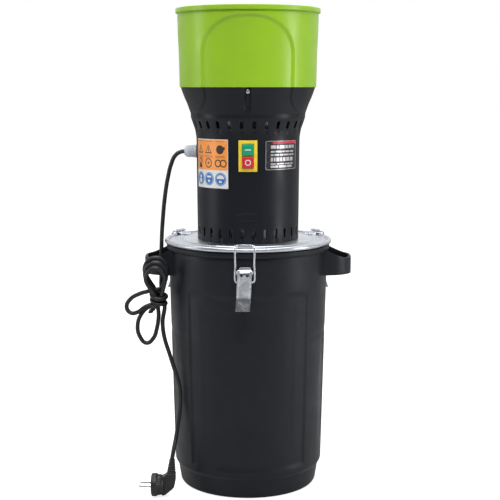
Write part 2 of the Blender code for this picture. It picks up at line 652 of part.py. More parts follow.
def screw_channel():
    """Half pipe along the cone's slope, with a hole for the screw at its upper end."""
    top = JOINT_Z - 0.0015
    low = top - CHANNEL_LENGTH
    lift = CHANNEL_R - 0.0035 - LOBE_DEPTH
    high_point = Vector((0, -(radius_at(HOUSING_PROFILE, top) + lift), top))
    low_point = Vector((0, -(radius_at(HOUSING_PROFILE, low) + lift + 0.002), low))
    along = high_point - low_point
    shape = bmesh.new()
    tilt = along.to_track_quat("Z", "Y").to_matrix().to_4x4()
    bmesh.ops.create_cone(shape, cap_ends=True, segments=16, radius1=CHANNEL_R, radius2=CHANNEL_R,
                          depth=along.length, matrix=Matrix.Translation((high_point + low_point) / 2) @ tilt)
    hole = bmesh.new()
    rod(SCREW_SHANK_R + GAP, 0.030, (0, -screw_seat(), screw_height()), "Y", 12, hole)
    counterbore = rod(SCREW_HEAD_R + GAP, 0.010, (0, -screw_seat() - 0.005, screw_height()), "Y", 16)
    holed = solid("screw_channel", shape)
    combine(holed, solid("screw_hole", hole), "UNION")
    combine(holed, solid("screw_counterbore", counterbore), "UNION")
    bpy.context.view_layer.update()
    evaluated = holed.evaluated_get(bpy.context.evaluated_depsgraph_get())
    joined = bmesh.new()
    joined.from_mesh(evaluated.to_mesh())
    for helper in [step.object for step in holed.modifiers] + [holed]:
        bpy.data.objects.remove(helper)
    return joined


def arch_half_angle(height):
    """Half angle of the hopper's panel: straight sides under a round arch."""
    top = RIM_TOP - RIM_HEIGHT - ARCH_BELOW_RIM
    spring = top - 0.046
    if height <= spring:
        return ARCH_HALF_ANGLE
    share = (height - spring) / (top - spring)
    return ARCH_HALF_ANGLE * (0.50 + 0.50 * sqrt(max(0.0, 1 - share ** 2)))


def floor_z():
    """Top face of the hopper's floor."""
    return JOINT_Z - FUNNEL_DEPTH


def make_hopper():
    top = RIM_TOP
    under_rim = top - RIM_HEIGHT
    spigot_top_r = HOPPER_BOTTOM_R - CONE_WALL - 0.0010
    slope = (radius_at(HOUSING_PROFILE, JOINT_Z) - radius_at(HOUSING_PROFILE, JOINT_Z - SPIGOT_DEPTH))
    spigot_low_r = spigot_top_r - slope
    floor = floor_z()
    inner_low = HOPPER_BOTTOM_R - HOPPER_WALL
    outline = [(HOPPER_BOTTOM_R, JOINT_Z), (HOPPER_TOP_R, under_rim), (RIM_R, under_rim + 0.0008),
               (RIM_R, top - 0.001), (RIM_R - 0.001, top), (HOPPER_TOP_R - HOPPER_WALL, top),
               (HOPPER_TOP_R - HOPPER_WALL, under_rim), (inner_low, JOINT_Z + 0.010),
               (FUNNEL_R, floor), (0, floor), (0, floor - FUNNEL_WALL), (FUNNEL_R, floor - FUNNEL_WALL),
               (spigot_low_r - SPIGOT_WALL, JOINT_Z - 0.0105), (spigot_low_r - SPIGOT_WALL, JOINT_Z - SPIGOT_DEPTH),
               (spigot_low_r, JOINT_Z - SPIGOT_DEPTH), (spigot_top_r, JOINT_Z)]
    start = 9
    hopper = solid("hopper", turned(outline[start + 1:] + outline[:start + 1], closed=False), GREEN_PLASTIC)
    arch_top = under_rim - ARCH_BELOW_RIM
    heights = [JOINT_Z - 0.001, JOINT_Z + 0.030, arch_top - 0.046]
    heights += [arch_top - 0.046 * (1 - sin(radians(90) * step / 5)) for step in range(1, 6)]
    for name, angle in FIELD_ANGLES.items():
        panel = sector(heights, lambda z: radius_at(HOPPER_PROFILE, z) - ARCH_DEPTH,
                       lambda z: radius_at(HOPPER_PROFILE, z) + 0.010, arch_half_angle, columns=9)
        combine(hopper, solid("cut_arch_" + name, panel, turn=angle))
        bite = rod(SCREW_SHANK_R + GAP, 2 * SCREW_LENGTH, (0, -screw_seat() - GAP, screw_height()), "Y", 12)
        combine(hopper, solid("cut_screw_bite_" + name, bite, turn=angle))
    port = upright_sector(floor - 0.01, floor + 0.002, CHUTE_INNER_R, CHUTE_OUTER_R, CHUTE_HALF_ANGLE)
    combine(hopper, solid("cut_feed_port", port, turn=CHUTE_CENTRE))
    combine(hopper, solid("cut_gate_pin_hole", rod(SCREW_SHANK_R + GAP, 0.02, (0, 0, floor))))
    return hopper


def make_hopper_screw(side, angle):
    """Pan head screw through the cone into the hopper's collar."""
    seat = screw_seat()
    under_head = -seat - GAP
    shape = rod(SCREW_HEAD_R, SCREW_HEAD, (0, under_head - SCREW_HEAD / 2, screw_height()), "Y", 16)
    screw = solid("hopper_screw_" + side, shape, ZINC, turn=angle)
    length = SCREW_LENGTH + SCREW_HEAD / 2
    shank = rod(SCREW_SHANK_R, length, (0, under_head + SCREW_LENGTH - length / 2, screw_height()), "Y", 12)
    combine(screw, solid("add_shank_" + side, shank, turn=angle), "UNION")


# ------------------------------------------------------------------ switch, gland and plates
def switch_seat():
    """Flat seat milled across the round housing for the switch's plate: its Y."""
    return -sqrt(HOUSING_NECK_R ** 2 - (SWITCH_WIDTH / 2) ** 2)


def make_switch():
    middle = JOINT_Z - SWITCH_BELOW_HOPPER
    front = switch_seat() - SWITCH_PROUD
    back = switch_seat() + SWITCH_BOX_DEPTH
    plate = block(SWITCH_WIDTH, SWITCH_PROUD, SWITCH_HEIGHT, (0, switch_seat() - SWITCH_PROUD / 2, middle))
    body = solid("switch_body", plate, YELLOW)
    box = block(SWITCH_BOX_WIDTH, back - front - 0.001, SWITCH_BOX_HEIGHT, (0, (front + back + 0.001) / 2, middle))
    combine(body, solid("add_switch_box", box), "UNION")
    for name, way, finish in (("start", 1, GREEN_BUTTON), ("stop", -1, RED_BUTTON)):
        height = middle + way * BUTTON_PITCH / 2
        pocket = block(BUTTON_SIZE + 2 * RUNNING_GAP, BUTTON_DEPTH + 0.010, BUTTON_SIZE + 2 * RUNNING_GAP,
                       (0, front + (BUTTON_DEPTH - 0.010) / 2, height))
        combine(body, solid("cut_pocket_" + name, pocket))
        depth = BUTTON_DEPTH - BUTTON_TRAVEL - RUNNING_GAP + BUTTON_PROUD
        button = block(BUTTON_SIZE, depth, BUTTON_SIZE, (0, -BUTTON_PROUD + depth / 2, 0))
        bmesh.ops.bevel(button, geom=[e for e in button.edges if abs(e.verts[0].co.y + BUTTON_PROUD) < 1e-5
                                      and abs(e.verts[1].co.y + BUTTON_PROUD) < 1e-5],
                        offset=0.0012, segments=2, profile=0.5, affect="EDGES", material=-1)
        solid(name + "_button", button, finish, (0, front, height))


def make_gland():
    """Nylon gland through the left of the housing, with its domed nut outside."""
    height = JOINT_Z - GLAND_BELOW_HOPPER
    wall = radius_at(HOUSING_PROFILE, height)
    bore = CORD_R + 0.0004
    flange = 0.0045
    inside = 0.0120
    thread_out = 0.0100
    outline = [(bore, inside), (GLAND_THREAD_R, inside), (GLAND_THREAD_R, -GAP), (GLAND_R + 0.0008, -GAP),
               (GLAND_R + 0.0008, -flange), (GLAND_THREAD_R, -flange), (GLAND_THREAD_R, -flange - thread_out),
               (bore, -flange - thread_out)]
    sideways = Matrix.Rotation(pi / 2, 3, "Y")
    start = Vector((-wall - 0.0002, 0, height))
    shape = turned([(r, z) for r, z in outline], 20)
    bmesh.ops.rotate(shape, cent=(0, 0, 0), matrix=sideways, verts=shape.verts)
    solid("cable_gland", shape, NYLON, start)
    nut = 0.0155
    thread = GLAND_THREAD_R + GAP
    low = flange + GAP
    outline = [(thread, low), (GLAND_R, low), (GLAND_R, low + 0.0095), (GLAND_R - 0.0010, low + 0.0120),
               (GLAND_R - 0.0035, low + nut - 0.0008), (bore + 0.0010, low + nut), (bore, low + nut - 0.0010),
               (bore, low + thread_out + GAP), (thread, low + thread_out + GAP)]
    shape = turned([(r, -z) for r, z in outline], 18)
    bmesh.ops.rotate(shape, cent=(0, 0, 0), matrix=sideways, verts=shape.verts)
    solid("gland_nut", shape, NYLON, start)


def make_label(name, centre, half_angle, height, below, finish):
    """Thin plate bent round the housing."""
    middle = JOINT_Z - below
    shape = sector([middle - height / 2, middle + height / 2],
                   lambda z: radius_at(HOUSING_PROFILE, z) + GAP,
                   lambda z: radius_at(HOUSING_PROFILE, z) + GAP + LABEL_THICKNESS,
                   lambda z: half_angle, columns=14)
    solid(name, shape, finish, turn=centre)


# ------------------------------------------------------------------ grain duct and gate
def make_duct():
    low = LID_UNDER + GAP
    high = floor_z() - FUNNEL_WALL - GAP
    spread = CHUTE_WALL / CHUTE_INNER_R
    body = solid("feed_chute", upright_sector(low, high, CHUTE_INNER_R - CHUTE_WALL, CHUTE_OUTER_R + CHUTE_WALL,
                                              CHUTE_HALF_ANGLE + spread), GALVANISED, turn=CHUTE_CENTRE)
    hollow = upright_sector(low - 0.01, high + 0.01, CHUTE_INNER_R, CHUTE_OUTER_R, CHUTE_HALF_ANGLE)
    combine(body, solid("cut_chute_hollow", hollow, turn=CHUTE_CENTRE))


def make_gate():
    """Swivelling plate on the hopper's floor: it covers the port when shut."""
    low = floor_z() + RUNNING_GAP
    thick = 0.0015
    edge = 0.0030
    cover = upright_sector(0, thick, CHUTE_INNER_R - edge, CHUTE_OUTER_R + edge,
                           CHUTE_HALF_ANGLE + edge / CHUTE_INNER_R)
    gate = solid("feed_gate", cover, ZINC, (0, 0, low), CHUTE_CENTRE)
    combine(gate, solid("add_gate_tongue", block(0.022, CHUTE_INNER_R, thick, (0, -CHUTE_INNER_R / 2, thick / 2)),
                        None, (0, 0, low), CHUTE_CENTRE), "UNION")
    combine(gate, solid("add_gate_hub", rod(0.014, thick, (0, 0, thick / 2), segments=24),
                        None, (0, 0, low), CHUTE_CENTRE), "UNION")
    combine(gate, solid("add_gate_knob", rod(0.0050, 0.016, (0, -0.048, 0.0080), segments=16),
                        None, (0, 0, low), CHUTE_CENTRE), "UNION")
    combine(gate, solid("cut_gate_pivot", rod(SCREW_SHANK_R + RUNNING_GAP, 0.02, segments=12),
                        None, (0, 0, low), CHUTE_CENTRE))


# ------------------------------------------------------------------ motor
def stator_bottom():
    return LID_TOP + MOTOR_ABOVE_LID


def stator_top():
    return stator_bottom() + STATOR_HEIGHT


def make_motor():
    low, high = stator_bottom(), stator_top()
    core = [(STATOR_BORE_R, low), (STATOR_R, low), (STATOR_R, high), (STATOR_BORE_R, high)]
    solid("stator_core", turned(core, INNER_SEGMENTS), LAMINATION)
    over = WINDING_OVERHANG
    liner = STATOR_BORE_R - GAP
    winding = [(ROTOR_R + RUNNING_GAP, low - over), (STATOR_R - 0.006, low - over), (STATOR_R - 0.004, low - GAP),
               (liner, low - GAP), (liner, high + GAP), (STATOR_R - 0.004, high + GAP),
               (STATOR_R - 0.006, high + over), (ROTOR_R + RUNNING_GAP, high + over)]
    solid("stator_winding", turned(winding, INNER_SEGMENTS), COPPER)
    lower_plate = CHAMBER_TOP + GAP
    lower_bearing = lower_plate + SHIELD_PLATE / 2
    upper_bearing = high + over + 0.008
    hub = BEARING_R + GAP
    cup_inner = STATOR_R + GAP
    cup_outer = STATOR_R + SHIELD_WALL
    shaft_hole = SHAFT_R + 0.002
    lower = [(shaft_hole, lower_plate), (cup_outer, lower_plate), (cup_outer, low + 0.008), (cup_inner, low + 0.008),
             (cup_inner, low - GAP), (cup_inner - 0.003, low - GAP), (cup_inner - 0.003, lower_plate + SHIELD_PLATE),
             (hub + 0.004, lower_plate + SHIELD_PLATE), (hub + 0.004, lower_bearing + BEARING_HEIGHT),
             (hub, lower_bearing + BEARING_HEIGHT), (hub, lower_bearing), (shaft_hole, lower_bearing)]
    solid("lower_shield", turned(lower, INNER_SEGMENTS), CAST)
    plate_top = upper_bearing + BEARING_HEIGHT + 0.002
    upper = [(hub, plate_top), (cup_outer, plate_top), (cup_outer, high - 0.008), (cup_inner, high - 0.008),
             (cup_inner, high + GAP), (cup_inner - 0.003, high + GAP), (cup_inner - 0.003, plate_top - SHIELD_PLATE),
             (hub + 0.004, plate_top - SHIELD_PLATE), (hub + 0.004, upper_bearing - 0.002),
             (shaft_hole, upper_bearing - 0.002), (shaft_hole, upper_bearing - GAP), (hub, upper_bearing - GAP)]
    solid("upper_shield", turned(upper, INNER_SEGMENTS), CAST)
    for name, height in (("lower", lower_bearing + GAP), ("upper", upper_bearing)):
        ring = [(SHAFT_R + GAP, height), (BEARING_R, height), (BEARING_R, height + BEARING_HEIGHT - GAP),
                (SHAFT_R + GAP, height + BEARING_HEIGHT - GAP)]
        solid(name + "_bearing", turned(ring, INNER_SEGMENTS), STEEL)
    shaft_low = DISC_Z - 0.0115
    shoulder = DISC_Z + DISC_SHOULDER
    shaft_top = plate_top + 0.001
    shaft = [(0, shaft_low), (SHAFT_R - 0.002, shaft_low), (SHAFT_R - 0.002, shoulder), (SHAFT_R, shoulder),
             (SHAFT_R, shaft_top), (0, shaft_top)]
    solid("motor_shaft", turned(shaft, 24, closed=False), STEEL)
    rotor = [(SHAFT_R + GAP, low - 0.004), (ROTOR_R - 0.003, low - 0.004), (ROTOR_R, low), (ROTOR_R, high),
             (ROTOR_R - 0.003, high + 0.004), (SHAFT_R + GAP, high + 0.004)]
    solid("rotor_core", turned(rotor, INNER_SEGMENTS), LAMINATION)
    make_fan(high + 0.006)
    can = rod(0.0090, 0.055, (0.0, -0.0690, low + 0.020), "Z", 20)
    solid("capacitor", can, NYLON, turn=radians(150 - 90))


def make_fan(low):
    """Cooling fan on the shaft over the rotor: a hub with eight blades."""
    hub_r = SHAFT_R + 0.005
    height = 0.0110
    ring = [(SHAFT_R + GAP, low), (hub_r, low), (hub_r, low + height), (SHAFT_R + GAP, low + height)]
    fan = solid("cooling_fan", turned(ring, 24), BLACK_PLASTIC)
    blades = bmesh.new()
    tip = ROTOR_R - 0.001
    for index in range(8):
        blade = bmesh.ops.create_cube(blades, size=1.0)["verts"]
        bmesh.ops.scale(blades, vec=(0.0016, tip - hub_r + 0.002, height - 0.001), verts=blade)
        bmesh.ops.translate(blades, vec=(0, (tip + hub_r) / 2 - 0.001, low + height / 2), verts=blade)
        bmesh.ops.rotate(blades, cent=(0, 0, 0), matrix=Matrix.Rotation(index * pi / 4, 3, "Z"), verts=blade)
    combine(fan, solid("add_fan_blades", blades), "UNION")


# ------------------------------------------------------------------ hammer chamber
CHAMBER_TOP = LID_UNDER - GAP                 # upper face of the chamber's top plate
CHAMBER_ROOF = CHAMBER_TOP - CHAMBER_PLATE
CHAMBER_BOTTOM = CHAMBER_ROOF - CHAMBER_HEIGHT
DISC_Z = CHAMBER_ROOF - 0.0260                # underside of the hammer disc


def make_chamber():
    roof = [(SHAFT_R + 0.002, CHAMBER_ROOF), (CHAMBER_PLATE_R, CHAMBER_ROOF), (CHAMBER_PLATE_R, CHAMBER_TOP),
            (SHAFT_R + 0.002, CHAMBER_TOP)]
    plate = solid("chamber_plate", turned(roof, 36), GALVANISED)
    port = upright_sector(CHAMBER_ROOF - 0.01, CHAMBER_TOP + 0.01, CHUTE_INNER_R, CHAMBER_R - 0.002, CHUTE_HALF_ANGLE)
    combine(plate, solid("cut_plate_port", port, turn=CHUTE_CENTRE))
    low, high = CHAMBER_BOTTOM + GAP, CHAMBER_ROOF - GAP
    ring = [(CHAMBER_R, low), (CHAMBER_R + SIEVE_WALL, low), (CHAMBER_R + SIEVE_WALL, high), (CHAMBER_R, high)]
    sieve = solid("sieve_ring", turned(ring, 36), ZINC)
    slots = bmesh.new()
    for index in range(SIEVE_SLOTS):
        slot = bmesh.ops.create_cube(slots, size=1.0)["verts"]
        bmesh.ops.scale(slots, vec=(0.0080, 0.010, CHAMBER_HEIGHT - 0.012), verts=slot)
        bmesh.ops.translate(slots, vec=(0, -CHAMBER_R, (low + high) / 2), verts=slot)
        turn = Matrix.Rotation(2 * pi * (index + 0.5) / SIEVE_SLOTS, 3, "Z")
        bmesh.ops.rotate(slots, cent=(0, 0, 0), matrix=turn, verts=slot)
    combine(sieve, solid("cut_sieve_slots", slots))
    floor = [(0, CHAMBER_BOTTOM - CHAMBER_PLATE), (CHAMBER_PLATE_R - 0.002, CHAMBER_BOTTOM - CHAMBER_PLATE),
             (CHAMBER_PLATE_R - 0.002, CHAMBER_BOTTOM), (0, CHAMBER_BOTTOM)]
    floor = solid("chamber_floor", turned(floor, 36, closed=False), ZINC)
    stud_at = (CHAMBER_R + CHAMBER_PLATE_R) / 2
    holes = bmesh.new()
    for way in (-1, 1):
        rod(STUD_R + GAP, 0.02, (way * stud_at, 0, CHAMBER_BOTTOM), segments=12, shape=holes)
    combine(floor, solid("cut_stud_holes", holes))
    stud_low = CHAMBER_BOTTOM - CHAMBER_PLATE - 0.016
    for side, way in (("left", -1), ("right", 1)):
        length = CHAMBER_ROOF - GAP - stud_low
        stud = rod(STUD_R, length, (way * stud_at, 0, stud_low + length / 2), segments=12)
        stud = solid("wing_stud_" + side, stud, ZINC)
        nut_z = CHAMBER_BOTTOM - CHAMBER_PLATE - GAP - 0.003
        nut = rod(0.0055, 0.006, (way * stud_at, 0, nut_z), segments=12)
        combine(stud, solid("add_nut_" + side, nut), "UNION")
        wings = block(0.0022, 0.024, 0.009, (way * stud_at, 0, nut_z - 0.003))
        combine(stud, solid("add_wings_" + side, wings), "UNION")


def make_disc():
    """Disc on the shaft's end with four pins, each under a riveted head."""
    outline = [(SHAFT_R - 0.002 + GAP, 0), (DISC_R, 0), (DISC_R, DISC_THICKNESS), (SHAFT_R - 0.002 + GAP, DISC_THICKNESS)]
    disc = solid("hammer_disc", turned([(r, DISC_Z + z) for r, z in outline], INNER_SEGMENTS), STEEL)
    recess = rod(SHAFT_R + GAP, 0.010, (0, 0, DISC_Z + 0.005 + DISC_SHOULDER - GAP), segments=24)
    combine(disc, solid("cut_disc_recess", recess))
    pins = bmesh.new()
    top = DISC_Z + DISC_THICKNESS
    above = HAMMER_THICKNESS + 2 * RUNNING_GAP
    for index in range(HAMMER_COUNT):
        at = around(2 * pi * index / HAMMER_COUNT, HAMMER_PITCH_R)
        rod(0.0030, above + 0.003, (at.x, at.y, top + (above + 0.003) / 2 - 0.001), segments=8, shape=pins)
    combine(disc, solid("add_pins", pins), "UNION")
    heads = bmesh.new()
    for index in range(HAMMER_COUNT):
        at = around(2 * pi * index / HAMMER_COUNT, HAMMER_PITCH_R)
        rod(0.0050, 0.002, (at.x, at.y, top + above + 0.001), segments=8, shape=heads)
    combine(disc, solid("add_pin_heads", heads), "UNION")
    nut = rod(0.0095, 0.008, (0, 0, DISC_Z - GAP - 0.004), segments=6)
    nut = solid("disc_nut", nut, ZINC)
    combine(nut, solid("cut_disc_nut", rod(SHAFT_R - 0.002 + GAP, 0.02, (0, 0, DISC_Z - 0.004))))


def make_hammer(index):
    """Flat swinging hammer with a round eye; its origin is on its pin."""
    angle = 2 * pi * index / HAMMER_COUNT
    half = HAMMER_WIDTH / 2
    outline = []
    for step in range(9):
        turn = pi * step / 8
        outline.append((half * cos(turn), half * sin(turn)))
    outline += [(-half, -HAMMER_LENGTH), (half, -HAMMER_LENGTH)]
    at = around(angle, HAMMER_PITCH_R, DISC_Z + DISC_THICKNESS + RUNNING_GAP + HAMMER_THICKNESS / 2)
    name = "hammer_" + str(index + 1)
    hammer = solid(name, prism(outline, HAMMER_THICKNESS), STEEL, at, angle)
    eye = solid("cut_eye_" + str(index + 1), rod(0.0030 + RUNNING_GAP, 0.02, segments=16), None, at, angle)
    combine(hammer, eye)


# ------------------------------------------------------------------ power cord
# The route was laid by hand for these sizes: out of the gland, down through the left carrying loop,
# into a knotted hank that hangs under it, then down along the bin to the plug on the floor.
HANK_FOOT = Vector((-0.1470, -0.0540, 0.3120))     # bottom of the knot, middle of its thickness
HANK_LEAN = radians(20.2)
HANK_THICKNESS = 0.0220
HANK_UP = Vector((0, -sin(HANK_LEAN), cos(HANK_LEAN)))
HANK_FRONT = Vector((0, -cos(HANK_LEAN), -sin(HANK_LEAN)))
KNOT_LEFT = -0.0055
KNOT_RIGHT = 0.0145
KNOT_HEIGHT = 0.0280
LOOPS_HEIGHT = 0.0830
CORD_STEP = 0.0160
PLUG_MIDDLE_Y = -0.1000
PLUG_HEAD_R = 0.0190
PLUG_HEAD_LEFT = -0.1590
PLUG_HEAD_RIGHT = -0.1368
PLUG_TOP = 0.0390
PLUG_ENTRY_X = -0.1262
RELIEF_TOP = Vector((-0.1246, -0.0968, 0.0625))
RELIEF_R = 0.0072

FEED_ROUTE = [(-0.1130, -0.0002, 0.5605), (-0.1214, -0.0015, 0.5552), (-0.1280, -0.0040, 0.5420), (-0.1329, -0.0060, 0.5255),
              (-0.1361, -0.0080, 0.5091), (-0.1382, -0.0100, 0.4888), (-0.1401, -0.0110, 0.4696),
              (-0.1422, -0.0120, 0.4493), (-0.1435, -0.0120, 0.4288), (-0.1447, -0.0120, 0.4105),
              (-0.1452, -0.0120, 0.3882), (-0.1455, -0.0125, 0.3650), (-0.1458, -0.0160, 0.3440), (-0.1460, -0.0240, 0.3320)]
SIDE_ROUTE = [(-0.1650, -0.0620, 0.3350), (-0.1800, -0.0600, 0.3290), (-0.1960, -0.0580, 0.3190),
              (-0.2025, -0.0570, 0.3070), (-0.1950, -0.0580, 0.2990), (-0.1820, -0.0600, 0.3010),
              (-0.1700, -0.0600, 0.3110)]
LOW_ROUTE = [(-0.1640, -0.0560, 0.3090), (-0.1760, -0.0555, 0.2960), (-0.1825, -0.0550, 0.2790),
             (-0.1795, -0.0545, 0.2580), (-0.1680, -0.0540, 0.2460), (-0.1570, -0.0530, 0.2520),
             (-0.1508, -0.0520, 0.2680), (-0.1480, -0.0510, 0.2850)]
TAIL_ROUTE = [(-0.1415, -0.0500, 0.2800), (-0.1385, -0.0530, 0.2560), (-0.1300, -0.0590, 0.2300),
              (-0.1215, -0.0660, 0.2052), (-0.1148, -0.0710, 0.1854), (-0.1120, -0.0725, 0.1642),
              (-0.1129, -0.0740, 0.1388), (-0.1158, -0.0770, 0.1155), (-0.1190, -0.0840, 0.0933),
              (-0.1220, -0.0925, 0.0780)]


def on_hank(across, up, out=0.0):
    """Point of the hank: across to the right, up along its lean, and out of its middle to the front."""
    return HANK_FOOT + Vector((across, 0, 0)) + HANK_UP * up + HANK_FRONT * out


def laid(name, start, start_way, route, end, end_way):
    """Stretch of cord along a hand-laid route, square to the faces that it leaves and meets."""
    lead = 0.0050
    inner = [start + start_way * lead] + [Vector(point) for point in route] + [end - end_way * lead]
    wire(name, [start] + smooth_line(inner, CORD_STEP) + [end], CORD_R, RUBBER)


def make_cord():
    left = Vector((-1, 0, 0))
    height = JOINT_Z - GLAND_BELOW_HOPPER
    wall = radius_at(HOUSING_PROFILE, height)
    exit_x = -wall - 0.0002 - 0.0045 - 0.0100 - GAP
    entry = on_hank(0.0010, 0.0110, -HANK_THICKNESS / 2 - GAP)
    laid("cord_feed", Vector((exit_x, 0, height)), left, FEED_ROUTE, entry, HANK_FRONT)

    outline = []
    middle = (KNOT_RIGHT + KNOT_LEFT) / 2 - 0.0075
    half_width = 0.0195
    loop_low, loop_high = KNOT_HEIGHT, LOOPS_HEIGHT
    outline += [(KNOT_LEFT, 0.0), (KNOT_RIGHT, 0.0), (KNOT_RIGHT, KNOT_HEIGHT - 0.004)]
    for step in range(13):
        angle = radians(-50 + 280 * step / 12)
        rise = (loop_high - loop_low) / 2
        outline.append((middle + half_width * cos(angle), loop_low + rise + rise * sin(angle)))
    outline.append((KNOT_LEFT, KNOT_HEIGHT - 0.002))
    shape = prism([(x, z) for x, z in outline], HANK_THICKNESS, "XZ")
    bmesh.ops.rotate(shape, cent=(0, 0, 0), matrix=Matrix.Rotation(HANK_LEAN, 3, "X"), verts=shape.verts)
    solid("cord_hank", shape, RUBBER, HANK_FOOT)

    right = Vector((1, 0, 0))
    down = -HANK_UP
    laid("cord_side_loop", on_hank(KNOT_LEFT - GAP, 0.0230), left, SIDE_ROUTE, on_hank(KNOT_LEFT - GAP, 0.0145), right)
    laid("cord_low_loop", on_hank(KNOT_LEFT - GAP, 0.0055), left, LOW_ROUTE, on_hank(-0.0012, -GAP), HANK_UP)
    plug_way = (RELIEF_TOP - Vector((PLUG_ENTRY_X, PLUG_MIDDLE_Y, PLUG_TOP + GAP))).normalized()
    laid("cord_tail", on_hank(0.0090, -GAP), down, TAIL_ROUTE, RELIEF_TOP + plug_way * 2 * GAP, -plug_way)


def make_plug():
    """Earthed mains plug with its cord at the side: round head, elbow, ribbed relief, two pins."""
    middle = PLUG_MIDDLE_Y
    centre_z = PLUG_HEAD_R + 0.0004
    length = PLUG_HEAD_RIGHT - PLUG_HEAD_LEFT
    head = rod(PLUG_HEAD_R, length, ((PLUG_HEAD_LEFT + PLUG_HEAD_RIGHT) / 2, middle, centre_z), "X", 32)
    body = solid("plug_body", head, RUBBER)
    elbow = [(PLUG_HEAD_RIGHT - 0.004, 0.0020), (PLUG_HEAD_RIGHT, 0.0020), (-0.1200, 0.0170), (-0.1190, PLUG_TOP),
             (-0.1334, PLUG_TOP), (PLUG_HEAD_RIGHT - 0.004, PLUG_TOP - 0.0015)]
    elbow = prism(elbow, 2 * RELIEF_R + 0.002, "XZ")
    bmesh.ops.translate(elbow, vec=(0, middle, 0), verts=elbow.verts)
    combine(body, solid("add_plug_elbow", elbow), "UNION")
    pin_length = 0.0190
    for name, way in (("front", -1), ("rear", 1)):
        at = (PLUG_HEAD_LEFT - GAP - pin_length / 2, middle + way * 0.0095, centre_z + 0.0010)
        solid("plug_pin_" + name, rod(0.0024, pin_length, at, "X", 14), ZINC)
    low = Vector((PLUG_ENTRY_X, middle, PLUG_TOP + GAP))
    top = RELIEF_TOP
    height = top.z - low.z
    ribs = 3
    outline = [(0, 0)]
    for rib in range(ribs):
        share = rib / ribs
        radius = RELIEF_R + (CORD_R + 0.0008 - RELIEF_R) * share
        outline += [(radius, height * share), (radius - 0.0003, height * (share + 0.6 / ribs)),
                    (radius - 0.0013, height * (share + 0.7 / ribs)), (radius - 0.0013, height * (share + 0.95 / ribs))]
    outline += [(CORD_R + 0.0002, height), (0, height)]
    relief = turned(outline, 12, closed=False)
    for vert in relief.verts:
        share = vert.co.z / height
        vert.co.x += (top.x - low.x) * share
        vert.co.y += (top.y - low.y) * share
    solid("plug_relief", relief, RUBBER, low)


# ------------------------------------------------------------------ the whole machine
make_bin()
make_seal()
make_lid()
for side_name, side_angle in LATCH_ANGLES.items():
    make_keeper(side_name, side_angle)
    make_latch(side_name, side_angle)
for side_name, side_angle in FIELD_ANGLES.items():
    make_hopper_screw(side_name, side_angle)
make_housing()
make_hopper()
make_switch()
make_gland()
make_label("warning_label", WARNING_CENTRE, WARNING_HALF_ANGLE, WARNING_HEIGHT, WARNING_BELOW_HOPPER, LABEL_ORANGE)
make_label("rating_label", RATING_CENTRE, RATING_HALF_ANGLE, RATING_HEIGHT, RATING_BELOW_HOPPER, LABEL_DARK)
make_duct()
make_gate()
make_motor()
make_chamber()
make_disc()
for hammer_index in range(HAMMER_COUNT):
    make_hammer(hammer_index)
make_cord()
make_plug()
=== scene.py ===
# %% [markdown]
# # Electric hammer mill
# A black moulded bin carries a galvanised lid, and on the lid stands the slotted motor housing with
# its green hopper.  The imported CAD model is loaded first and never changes: each piece below is a
# finer mesh that lies where its CAD node lies, and rides on the same body, so latches and buttons move.

from math import asin, atan2, cos, exp, hypot, pi, radians, sin, sqrt, tan

import bmesh
import bpy
from mathutils import Matrix, Vector


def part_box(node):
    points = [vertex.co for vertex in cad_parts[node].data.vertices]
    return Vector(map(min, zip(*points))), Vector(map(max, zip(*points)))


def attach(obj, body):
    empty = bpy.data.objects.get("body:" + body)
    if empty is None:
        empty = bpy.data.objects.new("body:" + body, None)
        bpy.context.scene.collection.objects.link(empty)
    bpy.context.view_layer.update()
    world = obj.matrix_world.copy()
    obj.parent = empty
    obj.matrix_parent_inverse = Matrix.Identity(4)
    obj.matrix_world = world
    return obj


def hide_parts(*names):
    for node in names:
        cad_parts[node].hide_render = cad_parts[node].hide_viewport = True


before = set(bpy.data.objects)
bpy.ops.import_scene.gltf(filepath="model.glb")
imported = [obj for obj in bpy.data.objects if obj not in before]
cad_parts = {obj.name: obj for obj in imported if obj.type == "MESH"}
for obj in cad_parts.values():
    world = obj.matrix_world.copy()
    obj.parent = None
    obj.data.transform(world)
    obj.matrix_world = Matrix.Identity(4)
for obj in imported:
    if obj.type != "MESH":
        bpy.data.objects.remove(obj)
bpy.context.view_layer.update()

# %% [markdown]
# ## Sizes
# The levels are read from the CAD boxes, so they can't drift from it.  Radii come from the same
# drawing.  Everything is in metres, +Z up, and the front with the switch looks along -Y.

# %% Sizes
GAP = 0.0003
LID_TOP = 0.4160
JOINT_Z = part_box("hopper_screw_front")[1].z + 0.0028     # where the hopper meets the housing
RIM_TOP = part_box("hopper")[1].z
BIN_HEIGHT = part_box("bin_seal")[0].z - GAP
THIRDS = {"front": 0.0, "right": radians(120), "left": radians(-120)}

HOUSING_PROFILE = [(0.0844, LID_TOP + GAP), (0.0858, JOINT_Z - 0.082), (0.0880, JOINT_Z - 0.069),
                   (0.0977, JOINT_Z - 0.041), (0.1120, JOINT_Z - GAP)]
HOPPER_PROFILE = [(0.1138, JOINT_Z), (0.1160, RIM_TOP - 0.008)]
BIN_PROFILE = [(0.1242, 0.039), (0.1330, BIN_HEIGHT - 0.009)]
print("joint", round(JOINT_Z, 4), "rim", round(RIM_TOP, 4), "bin", round(BIN_HEIGHT, 4))

# %% [markdown]
# ## Small helpers
# Most of this machine is turned work, so a piece is usually an outline spun about the upright axis,
# and then pushed in or out a little where it has a panel or a groove.  An angle is counted from the
# front towards +X.

# %% Helpers for points and outlines
def around(angle, radius, height=0.0):
    """Point at an angle from the front, a radius from the axis and a height."""
    return Vector((radius * sin(angle), -radius * cos(angle), height))


